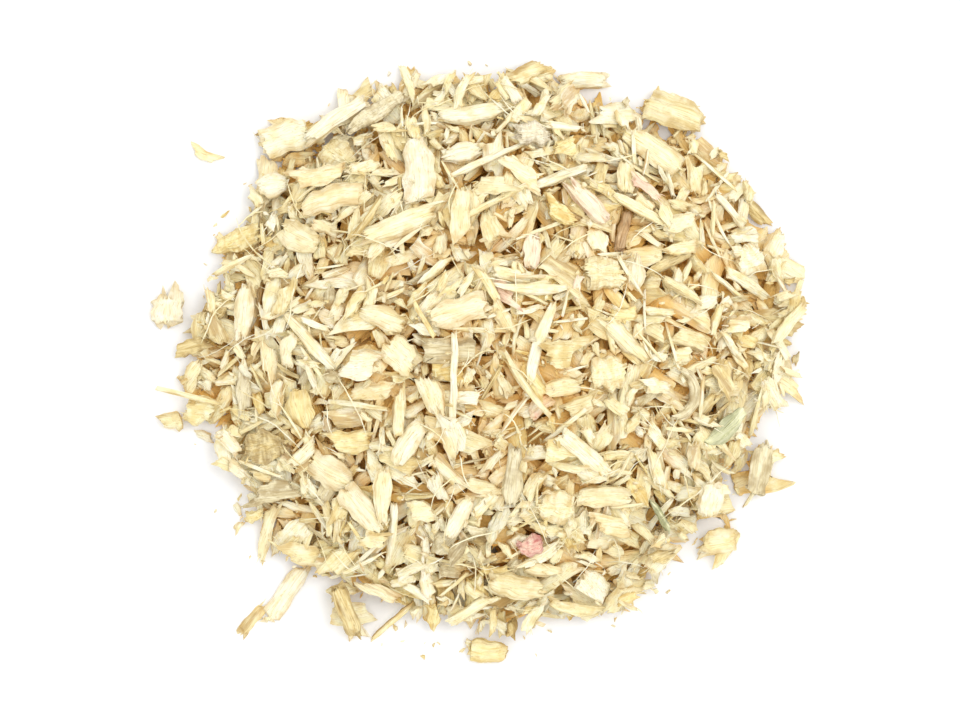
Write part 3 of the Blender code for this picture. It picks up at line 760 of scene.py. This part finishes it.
def faces_of(stations, around):
    """Faces between the rings of one loft and at its two ends, whose middles are its last two points."""
    k = np.arange(around)
    after = (k + 1) % around
    rings = np.arange(stations - 1)[:, None] * around
    corners = [rings + k, rings + after, rings + around + after, rings + around + k]
    last = (stations - 1) * around
    cap = np.full(around, stations * around)
    ends = [np.stack([after, k, cap], axis=1), np.stack([last + k, last + after, cap + 1], axis=1)]
    return {"quads": np.stack(corners, axis=-1).reshape(-1, 4), "tris": np.concatenate(ends)}


def flat_parts(shapes):
    """Many shapes of one topology as one list of points and faces."""
    count, per = shapes["points"].shape[:2]
    shift = np.arange(count)[:, None, None] * per
    flat = {name: shapes[name].reshape(count * per, *shapes[name].shape[2:])
            for name in ("points", "grain", "chance", "skin", "torn")}
    flat["quads"] = (shapes["quads"][None] + shift).reshape(-1, 4)
    flat["tris"] = (shapes["tris"][None] + shift).reshape(-1, 3)
    return flat


def piece_of(name, groups, tone, cover, sharp_angle=28, look=None):
    """One mesh object from several lists of points and faces; cover is the heap's surface over them."""
    shift = 0
    quads, tris = [], []
    for group in groups:
        points = group["points"]
        points[:, 2] = np.clip(points[:, 2], 0, CAD_HIGH.z / MM * HIGHEST)
        under = cover[spot(points[:, 0]), spot(points[:, 1])] - points[:, 2]
        # Painted shade: depth under the heap's surface, which the material turns into a warm shade colour
        group["deep"] = np.clip((under - PAINTED_SHADE_FROM) / PAINTED_SHADE_OVER, 0, 1)
        quads.append(group["quads"] + shift)
        tris.append(group["tris"] + shift)
        shift += len(points)
    quads, tris = np.concatenate(quads), np.concatenate(tris)
    mesh = bpy.data.meshes.new(name)
    mesh.vertices.add(shift)
    mesh.vertices.foreach_set("co", np.concatenate([g["points"] for g in groups]).ravel() * MM)
    mesh.loops.add(quads.size + tris.size)
    mesh.loops.foreach_set("vertex_index", np.concatenate([quads.ravel(), tris.ravel()]))
    mesh.polygons.add(len(quads) + len(tris))
    starts = np.concatenate([np.arange(len(quads)) * 4, quads.size + np.arange(len(tris)) * 3])
    mesh.polygons.foreach_set("loop_start", starts)
    mesh.update(calc_edges=True)
    for attribute, kind, key in (
            ("grain", "FLOAT_VECTOR", "vector"), ("chance", "FLOAT", "value"),
            ("skin", "FLOAT", "value"), ("torn", "FLOAT", "value"), ("deep", "FLOAT", "value")):
        values = np.concatenate([g[attribute] for g in groups]).astype(np.float32)
        mesh.attributes.new(attribute, kind, "POINT").data.foreach_set(key, values.ravel())
    mesh.shade_smooth()
    mesh.set_sharp_from_angle(angle=math.radians(sharp_angle))
    made = bpy.data.objects.new(name, mesh)
    bpy.context.scene.collection.objects.link(made)
    mesh.materials.append(wood(look or tone))
    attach(made, BODY)
    return made


def triangles_in(group):
    return 2 * len(group["quads"]) + len(group["tris"])


def node_tree_of(name):
    made = bpy.data.materials.new(name)
    made.use_nodes = True
    return made, made.node_tree.nodes, made.node_tree.links


def linear(colour):
    """A colour as the photo shows it, 0 to 255, as the share of light that the wood gives back."""
    shares = [channel / 255 for channel in colour]
    light = [s / 12.92 if s <= 0.04045 else ((s + 0.055) / 1.055) ** 2.4 for s in shares]
    return tuple(EXPOSED * channel for channel in light) + (1.0,)


def wood(tone):
    """Dry split root: grain lines along the chip, spots, a skin on one side, and rougher torn ends, with
    painted shade on the side edges of each chip and on what lies deep in the heap.
    """
    name = f"split_root_{tone}"
    if name in bpy.data.materials:
        return bpy.data.materials[name]
    _, light, middle, dark, spots, skin = TONES[tone]
    made, nodes, links = node_tree_of(name)
    shader = nodes["Principled BSDF"]

    def node(kind, **values):
        new = nodes.new(kind)
        for key, value in values.items():
            setattr(new, key, value)
        return new

    def attribute(name):
        return node("ShaderNodeAttribute", attribute_name=name)

    def stretched(source, scale):
        new = node("ShaderNodeMapping")
        new.inputs["Scale"].default_value = scale
        links.new(source, new.inputs["Vector"])
        return new.outputs["Vector"]

    def noise(vector, scale, detail, distortion=0.0):
        new = node("ShaderNodeTexNoise")
        new.inputs["Scale"].default_value = scale
        new.inputs["Detail"].default_value = detail
        new.inputs["Distortion"].default_value = distortion
        links.new(vector, new.inputs["Vector"])
        return new.outputs["Fac"]

    def ranged(source, low, high, to_low=0.0, to_high=1.0):
        new = node("ShaderNodeMapRange")
        new.inputs["From Min"].default_value = low
        new.inputs["From Max"].default_value = high
        new.inputs["To Min"].default_value = to_low
        new.inputs["To Max"].default_value = to_high
        links.new(source, new.inputs["Value"])
        return new.outputs["Result"]

    def computed(operation, first, second):
        new = node("ShaderNodeMath", operation=operation)
        for socket, value in zip(new.inputs, (first, second)):
            if isinstance(value, (int, float)):
                socket.default_value = value
            else:
                links.new(value, socket)
        return new.outputs["Value"]

    def times(first, second):
        return computed("MULTIPLY", first, second)

    def plus(first, second):
        return computed("ADD", first, second)

    def mixed(share, first, colour):
        new = node("ShaderNodeMix", data_type="RGBA")
        links.new(share, new.inputs["Factor"])
        links.new(first, new.inputs["A"])
        new.inputs["B"].default_value = linear(colour)
        return new.outputs["Result"]

    def grained(texture):
        return noise(stretched(grain, texture[0]), *texture[1:])

    def bumped(height, bump):
        new = node("ShaderNodeBump")
        new.inputs["Strength"].default_value = bump[0]
        new.inputs["Distance"].default_value = bump[1] * MM
        links.new(height, new.inputs["Height"])
        return new

    grain = attribute("grain").outputs["Vector"]
    chance = attribute("chance").outputs["Fac"]
    streaks, fibrous, hairlines = grained(STREAKS), grained(FIBROUS), grained(HAIRLINES)
    patches = noise(grain, *PATCHES)
    lightness = times(ranged(streaks, 0.34, 0.66), STREAK_SHARE)
    lightness = plus(lightness, times(ranged(fibrous, 0.36, 0.64), FIBRE_SHARE))
    lightness = plus(lightness, times(chance, CHANCE_SHARE))
    ramp = node("ShaderNodeValToRGB")
    ramp.color_ramp.elements[0].position = DARK_AT
    ramp.color_ramp.elements[0].color = linear(dark)
    ramp.color_ramp.elements[1].position = LIGHT_AT
    ramp.color_ramp.elements[1].color = linear(light)
    ramp.color_ramp.elements.new(MIDDLE_AT).color = linear(middle)
    links.new(lightness, ramp.inputs["Fac"])
    colour = ramp.outputs["Color"]
    skinned, torn, deep = (attribute(name).outputs["Fac"] for name in ("skin", "torn", "deep"))
    for share, most, tint in (
            (ranged(patches, 0.46, 0.60), ranged(chance, 0.1, 0.9, 0.7, 0.3), spots),
            (ranged(hairlines, 0.56, 0.66), HAIRLINE_TINT, skin),
            (ranged(grained(SPECKS), 0.66, 0.76), SPECK_TINT, skin),
            (skinned, ranged(streaks, 0.36, 0.56, 0.0, 0.7), skin),
            # Torn ends are darker wood; the side edges get painted shade, both through the torn attribute
            (torn, ranged(patches, 0.35, 0.65, 0.15, 0.75), skin),
            # Painted shade: a warm colour on what lies deep in the heap
            (deep, PAINTED_SHADE_SHARE, PAINTED_SHADE_COLOUR)):
        colour = mixed(times(share, most), colour, tint)
    links.new(colour, shader.inputs["Base Color"])
    links.new(ranged(streaks, 0.3, 0.7, 0.66, 0.88), shader.inputs["Roughness"])
    shader.inputs["Metallic"].default_value = 0.0
    crumpled = bumped(grained(CRUMPLES), CRUMPLE_BUMP)
    bump = bumped(plus(streaks, times(fibrous, 0.8)), GRAIN_BUMP)
    links.new(crumpled.outputs["Normal"], bump.inputs["Normal"])
    links.new(bump.outputs["Normal"], shader.inputs["Normal"])
    return made


def centreline(points, node):
    """The middle line of a chip that the frame has: where it runs, and its directions, at u from -1 to 1."""
    middle = (points.min(0) + points.max(0)) / 2
    offsets = points - middle
    _, _, axes = np.linalg.svd(offsets - offsets.mean(0), full_matrices=False)
    if node in TURNED:
        axes[0], axes[1] = axes[1].copy(), axes[0].copy()
    axes[2] *= np.sign(axes[2][2]) or 1.0
    axes[1] = np.cross(axes[2], axes[0])
    flat = offsets @ axes.T
    if node in CURLED:
        return curled_line(flat, middle, axes)
    low, high = flat[:, 0].min(), flat[:, 0].max()
    bins = np.linspace(low, high, LINE_BINS + 1)
    at, mids = [], []
    pad = NEAR_BIN * (high - low)
    for start, stop in zip(bins[:-1], bins[1:]):
        near = flat[(flat[:, 0] >= start - pad) & (flat[:, 0] <= stop + pad)]
        if len(near) >= 4:
            at.append((start + stop) / 2)
            mids.append((near[:, 1:].min(0) + near[:, 1:].max(0)) / 2)
    fit = [np.polyfit(at, [m[k] for m in mids], 2 if len(at) > 3 else 1) for k in (0, 1)]

    def line(u):
        x = (low + high) / 2 + u * (high - low) / 2 * NAMED_REACH
        place = middle + x * axes[0] + np.polyval(fit[0], x) * axes[1] + np.polyval(fit[1], x) * axes[2]
        slopes = [np.polyval(np.polyder(part), x) for part in fit]
        ahead = axes[0] + slopes[0] * axes[1] + slopes[1] * axes[2]
        ahead /= np.linalg.norm(ahead)
        up = axes[2] - (axes[2] @ ahead) * ahead
        up /= np.linalg.norm(up)
        return place, np.cross(up, ahead), up, x

    return line


def curled_line(flat, middle, axes):
    """The middle line of a chip that is bent to an arc."""
    system = np.column_stack([2 * flat[:, 0], 2 * flat[:, 1], np.ones(len(flat))])
    (cx, cy, rest), *_ = np.linalg.lstsq(system, (flat[:, :2] ** 2).sum(axis=1), rcond=None)
    radius = math.sqrt(rest + cx ** 2 + cy ** 2)
    toward = flat[:, :2].mean(0) - (cx, cy)
    facing = math.atan2(toward[1], toward[0])
    angles = np.arctan2(flat[:, 1] - cy, flat[:, 0] - cx) - facing
    angles = (angles + math.pi) % (2 * math.pi) - math.pi
    low, high = angles.min(), angles.max()
    level = np.polyfit(angles, flat[:, 2], 2)

    def line(u):
        turn = (low + high) / 2 + u * (high - low) / 2 * NAMED_REACH
        angle = turn + facing
        out = math.cos(angle) * axes[0] + math.sin(angle) * axes[1]
        place = middle + cx * axes[0] + cy * axes[1] + radius * out + np.polyval(level, turn) * axes[2]
        return place, -out, axes[2], turn * radius

    return line


def ray_out(tree, place, direction):
    hit = tree.ray_cast(Vector(place), Vector(direction))[0]
    return (hit - Vector(place)).length if hit else 0.0


def waves_round(draw, angles, size):
    """Uneven waves round a chip, the finer ones lower."""
    total = np.zeros_like(angles)
    for waves in (2, 3, 5, 7, 11):
        height = draw.normal(0, size / math.sqrt(waves))
        total += height * np.cos(waves * angles + draw.uniform(0, 2 * math.pi))
    return total + draw.normal(0, size * 0.45, len(angles))


def named_shape(node):
    """A chip that the frame has, at the same place and of the same form, with split faces and torn ends."""
    draw = rng_for(node)
    points, tree = solid_of(node)
    line = centreline(points, node)
    stations, around, u, angles = rings_of(NAMED_DETAIL)
    ridges = waves_round(draw, angles, RIDGE)
    cracks = np.zeros((stations, around))
    for _ in range(draw.integers(4, 9)):
        where, middle = draw.integers(around), draw.uniform(-1, 1)
        on = np.clip(1 - np.abs(u - middle) / draw.uniform(0.25, 0.7), 0, 1)
        cracks[:, where] += on * draw.uniform(0.12, 0.4)
    crumbly = node in CRUMBLY
    uneven = lumps(draw, 1, u, angles, NAMED_LUMP * (CRUMBLY_LUMP if crumbly else 1))[0]
    if crumbly:
        uneven += draw.normal(0, CRUMBLY_GRIT, uneven.shape)
    chatter = draw.normal(0, 0.008, (stations, around))
    knots = np.linspace(-1, 1, NAMED_KNOTS)
    wander = [np.interp(u, knots, draw.normal(0, NAMED_WANDER, NAMED_KNOTS)) for _ in range(4)]
    quarter = np.cos(angles), np.sin(angles)
    sway = wander[0][:, None] * np.maximum(quarter[0], 0) + wander[1][:, None] * np.maximum(-quarter[0], 0)
    sway += wander[2][:, None] * np.maximum(quarter[1], 0) + wander[3][:, None] * np.maximum(-quarter[1], 0)
    chatter += np.minimum(sway, NAMED_WANDER)
    torn = np.array([waves_round(draw, angles, draw.uniform(0.4, 0.95)) for _ in range(2)])
    torn += draw.normal(0, 0.22, (2, around))
    rows, grain, ring_middles = [], [], []
    for step, share in enumerate(u):
        place, side, up, run = line(share)
        ahead = np.cross(side, up)
        ring = []
        for turn, angle in enumerate(angles):
            direction = math.cos(angle) * side + math.sin(angle) * up
            reach = ray_out(tree, place, direction)
            worn = 1 + ridges[turn] * min(1.0, reach) + chatter[step, turn]
            dent = min(cracks[step, turn] - uneven[step, turn], MOST_DENT * reach)
            end = ending(share, NAMED_END_FROM) ** 2
            jag = torn[int(share > 0), turn] * end * min(1.0, reach)
            ring.append(place + direction * (reach * worn - dent) + ahead * jag)
            grain.append((run + jag, reach * math.cos(angle), reach * math.sin(angle)))
        rows.append(ring)
        ring_middles.append(np.mean(ring, axis=0))
    flat = np.array(rows).reshape(-1, 3)
    caps = np.array([ring_middles[0], ring_middles[-1]])
    caps += (caps - np.array([ring_middles[1], ring_middles[-2]])) * draw.uniform(-0.5, 0.3, (2, 1))
    grain = np.array(grain + [(line(-1)[3], 0, 0), (line(1)[3], 0, 0)])
    grain[:, 0] *= CRUMBLY_GRAIN if crumbly else 1
    end = ending(u, NAMED_END_FROM) ** 2 * TORN_TINT
    # Painted shade on the chip's side edges, joined with its darker torn ends
    edge = ending(np.cos(angles), NAMED_END_FROM) * SIDE_PAINTED_SHADE
    return {
        "points": np.concatenate([flat, caps]),
        "grain": grain + draw.uniform(-GRAIN_OFFSET, GRAIN_OFFSET, 3),
        "chance": np.full(len(flat) + 2, draw.uniform(0.5, 0.95)),
        "skin": np.zeros(len(flat) + 2),
        "torn": np.concatenate([np.maximum(end[:, None], edge).ravel(), (1, 1)]),
        **faces_of(stations, around),
    }


def tube(path, radii, around, draw, chance):
    """A thin fibre along a path of points."""
    ahead = np.gradient(path, axis=0)
    ahead /= np.linalg.norm(ahead, axis=1, keepdims=True)
    side = np.cross(ahead, (0, 0, 1.0))
    side /= np.linalg.norm(side, axis=1, keepdims=True)
    up = np.cross(side, ahead)
    angles = 2 * math.pi * np.arange(around) / around
    ring = np.cos(angles)[None, :, None] * side[:, None] + np.sin(angles)[None, :, None] * up[:, None] * 0.8
    points = path[:, None] + ring * radii[:, None, None]
    stations = len(path)
    run = np.concatenate([[0], np.cumsum(np.linalg.norm(np.diff(path, axis=0), axis=1))])
    grain = np.stack([
        np.repeat(run, around), np.tile(np.cos(angles) * radii.mean(), stations),
        np.tile(np.sin(angles) * radii.mean(), stations)], axis=1)
    grain = np.concatenate([grain, [(0, 0, 0), (run[-1], 0, 0)]])
    grain = grain + draw.uniform(-GRAIN_OFFSET, GRAIN_OFFSET, 3)
    caps = np.array([path[0], path[-1]])
    total = stations * around + 2
    return {
        "points": np.concatenate([points.reshape(-1, 3), caps]),
        "grain": grain,
        "chance": np.full(total, chance),
        "skin": np.zeros(total),
        "torn": np.zeros(total),
        **faces_of(stations, around),
    }


def torn_hairs(chips, draw):
    """Short fibres that stand out of the torn ends of some chips."""
    made = []
    middles, turns = frames_of(chips)
    for (_, _, _, size, _, _, tone, _), middle, turn in zip(chips, middles, turns):
        ahead, side, up = turn.T
        for end in (-1, 1):
            if draw.random() > HAIRY:
                continue
            for _ in range(draw.integers(1, 4)):
                start = middle + ahead * end * size[0] * 0.44
                start += side * draw.uniform(-0.35, 0.35) * size[1] + up * draw.uniform(-0.2, 0.3) * size[2]
                way = ahead * end + side * draw.normal(0, 0.35) + up * draw.normal(0.1, 0.2)
                bend = side * draw.normal(0, 0.3) + up * draw.normal(-0.1, 0.15)
                run = np.linspace(0, draw.uniform(0.7, 2.2), 4)[:, None]
                path = start + way * run + bend * run ** 2 / 2
                if path[:, 2].min() > HAIR_RADIUS[0]:
                    radii = draw.uniform(*HAIR_RADIUS) * (1 - 0.7 * np.linspace(0, 1, 4) ** 2)
                    made.append((tone, tube(path, radii, 4, draw, draw.uniform(0.4, 1.0))))
    return made


def taut(heights, at):
    """A line stretched over the tops that it passes, as a fibre lies: the upper hull of the heights."""
    hull = []
    for point in zip(at, heights):
        while len(hull) >= 2:
            (x0, z0), (x1, z1) = hull[-2:]
            if (z1 - z0) * (point[0] - x0) <= (point[1] - z0) * (x1 - x0):
                hull.pop()
            else:
                break
        hull.append(point)
    return np.interp(at, *np.array(hull).T)


def fibres(ground, level):
    """Thin loose fibres that lie over the chips, straight or gently curled."""
    draw = rng_for("fibres")
    inside = np.argwhere(level > HEAP_EDGE)
    made = []
    while len(made) < FIBRES:
        i, j = inside[draw.integers(len(inside))]
        length = float(np.clip(6.5 * math.exp(draw.normal(0, 0.4)), 2.5, 16))
        bend = draw.normal(0, 0.55)
        heading = draw.uniform(0, 2 * math.pi)
        stations = FIBRE_STATIONS
        s = np.linspace(-0.5, 0.5, stations)
        turn = heading + bend * s + draw.normal(0, 0.9) * s ** 2 + draw.normal(0, 0.09, stations)
        steps = np.stack([np.cos(turn), np.sin(turn)], axis=1) * length / (stations - 1)
        plan = np.cumsum(steps, axis=0)
        plan += (place_of(i), place_of(j)) - plan.mean(axis=0)
        if (plan < BOX_LOW).any() or (plan > BOX_HIGH).any():
            continue
        run = np.linspace(0, 1, 4 * stations)
        fine = np.stack([np.interp(run, np.linspace(0, 1, stations), plan[:, k]) for k in (0, 1)], axis=1)
        cells = spot(fine[:, 0]), spot(fine[:, 1])
        under = ground.top[cells]
        if ground.kept[cells].mean() > FIBRE_OVER_KEPT:
            continue
        radius = draw.uniform(0.06, 0.14) * min(1.0, length / 6)
        over = taut(under, run * length)[::4]
        over = np.minimum(over, under.mean() + 2.5) + radius * 0.8
        radii = radius * (1 - 0.75 * np.abs(2 * s) ** 3)
        path = np.column_stack([plan, over])
        made.append(tube(path, radii, 5, draw, draw.uniform(0.5, 1.0)))
    return made


def crumbs(ground, level):
    """Dust and crumbs that have fallen between the chips and round the heap."""
    draw = rng_for("crumbs")
    fine = place_of(np.arange(SIDE))
    distance = np.hypot(fine[:, None], fine[None, :])
    inside = np.argwhere((level > HEAP_EDGE) | (distance < CRUMB_REACH))
    made = []
    for _ in range(CRUMBS):
        looks = inside[draw.integers(len(inside), size=3)]
        depth = (level - ground.top)[looks[:, 0], looks[:, 1]]
        on_heap = level[looks[:, 0], looks[:, 1]] > HEAP_EDGE
        i, j = looks[np.where(on_heap, depth + 5, draw.uniform(0, 6, 3)).argmax()]
        if ground.kept[i, j]:
            continue
        length = float(np.clip(0.8 * math.exp(draw.normal(0, 0.4)), 0.3, 2.0))
        width = length * draw.uniform(0.35, 0.9)
        size = (length, width, width * draw.uniform(0.5, 1.0))
        x, y, heading = place_of(i), place_of(j), draw.uniform(0, math.pi)
        if not in_box(x, y, heading, size):
            continue
        rest, _, _ = ground.settle(x, y, heading, size)
        made.append((x, y, heading, size, rest, "chunk", any_tone(draw), None))
    return made


def lay_floor():
    """The ground that the heap lies on."""
    bpy.ops.mesh.primitive_plane_add(size=FLOOR_SIDE, location=(0, 0, -FLOOR_DROP * MM))
    floor = bpy.context.object
    floor.name = "floor"
    made, nodes, links = node_tree_of("floor")
    shader = nodes["Principled BSDF"]
    noise = nodes.new("ShaderNodeTexNoise")
    noise.inputs["Scale"].default_value = 60.0
    ramp = nodes.new("ShaderNodeValToRGB")
    ramp.color_ramp.elements[0].color = FLOOR_COLOURS[0]
    ramp.color_ramp.elements[1].color = FLOOR_COLOURS[1]
    links.new(noise.outputs["Fac"], ramp.inputs["Fac"])
    links.new(ramp.outputs["Color"], shader.inputs["Base Color"])
    shader.inputs["Roughness"].default_value = 0.9
    floor.data.materials.append(made)


def light_and_camera():
    """Soft light from the right and above, and the photo's view from straight above."""
    world = bpy.context.scene.world or bpy.data.worlds.new("studio")
    bpy.context.scene.world = world
    world.use_nodes = True
    background = world.node_tree.nodes["Background"]
    background.inputs["Color"].default_value = SKY_COLOUR
    background.inputs["Strength"].default_value = SKY_STRENGTH
    key = bpy.data.lights.new("key", "AREA")
    key.size = KEY_SIZE
    key.energy = KEY_WATTS
    key.color = KEY_COLOUR
    holder = bpy.data.objects.new("key", key)
    bpy.context.scene.collection.objects.link(holder)
    holder.location = KEY_PLACE
    holder.rotation_euler = (-Vector(KEY_PLACE)).to_track_quat("-Z", "Y").to_euler()
    holder.visible_camera = False
    camera = bpy.data.cameras.new("camera")
    camera.sensor_width = SENSOR
    camera.lens = SENSOR * CAMERA_HEIGHT / SEEN_WIDTH
    camera.clip_end = 10.0
    viewer = bpy.data.objects.new("camera", camera)
    viewer.location = (AIM[0], AIM[1], CAMERA_HEIGHT)
    bpy.context.scene.collection.objects.link(viewer)
    bpy.context.scene.camera = viewer
    bpy.context.scene.view_settings.view_transform = "Standard"


def cover_of(ground):
    """The height that the painted shade starts under: the heap's smoothed surface, lower near its open rim.
    """
    return spread(blurred(ground.top, COVER_HALF), COVER_REACH, -COVER_RISE, np.minimum)


def loose_pieces(ground, level):
    """All the chips without a node, joined by tone into pieces that stand for the frame's mound."""
    seen = np.bincount(ground.owner[ground.owner >= 0], minlength=len(ground.chips))
    by_tone = {tone: [] for tone in TONES}
    sorted_chips = {}
    for number, chip in enumerate(ground.chips):
        detail = chip[7]
        if detail is None:
            here = ground.top[spot(chip[0]), spot(chip[1])]
            deep = here - chip[4][0] - chip[3][2] > BURIED
            shows = seen[number]
            detail = FINE if shows > SHOWS_WELL else PLAIN if shows > 3 or not deep else ROUGH
        sorted_chips.setdefault((chip[6], detail), []).append(chip)
    for chip in crumbs(ground, level):
        sorted_chips.setdefault((chip[6], CRUMB_DETAIL), []).append(chip)
    for (tone, detail), chips in sorted_chips.items():
        for start in range(0, len(chips), BATCH):
            batch = chips[start:start + BATCH]
            shapes = loft(batch, detail, f"{tone} {detail} {start}")
            by_tone[tone].append(flat_parts(shapes))
    strands = fibres(ground, level)
    for number, strand in enumerate(strands):
        by_tone[FIBRE_TONES[number % len(FIBRE_TONES)]].append(strand)
    in_sight = [chip for number, chip in enumerate(ground.chips) if seen[number] > SHOWS_WELL]
    for tone, hair in torn_hairs(in_sight, rng_for("hairs")):
        by_tone[tone].append(hair)
    cover = cover_of(ground)
    for tone, groups in by_tone.items():
        shares, total = [[]], 0
        for group in groups:
            if total + triangles_in(group) > MOST_TRIANGLES:
                shares.append([])
                total = 0
            shares[-1].append(group)
            total += triangles_in(group)
        for number, share in enumerate(filter(None, shares), 1):
            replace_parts(piece_of(f"loose_{tone}_{number}", share, tone, cover), MOUND)


def build():
    """Fills the heap round the named chips, then makes every piece."""
    tones = {row["node"]: row["material_slot"] for row in frame["record"]["subparts"]}
    named = [node for node in frame["nodes"] if node != MOUND]
    level = mound_level()
    ground = Ground()
    for node in named:
        ground.mark_named(*solid_of(node))
    level = raised(ground, level)
    lay_bed(ground, level)
    fill(ground, level)
    level_off(ground, level, LEVEL_TRIES, LEVEL_SCALES, "level before")
    ground.lay_named()
    lay_placed(ground)
    level_off(ground, level, LEVEL_TRIES, LEVEL_SCALES, "level after")
    lay_round_rim(ground)
    lay_on_top(ground, level, TOP_CHIPS, ("flake", "plank", "chunk"), "top")
    lay_on_top(ground, level, TOP_SPLINTERS, ("splinter",), "splinters")
    level_off(ground, level, GAP_TRIES, GAP_SCALES, "gaps")
    loose_pieces(ground, level)
    cover = cover_of(ground)
    for node in named:
        shape = named_shape(node)
        made = piece_of(f"{node}_chip", [shape], tones[node], cover, 22, NAMED_LOOKS.get(node))
        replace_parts(made, node)


build()
lay_floor()
light_and_camera()
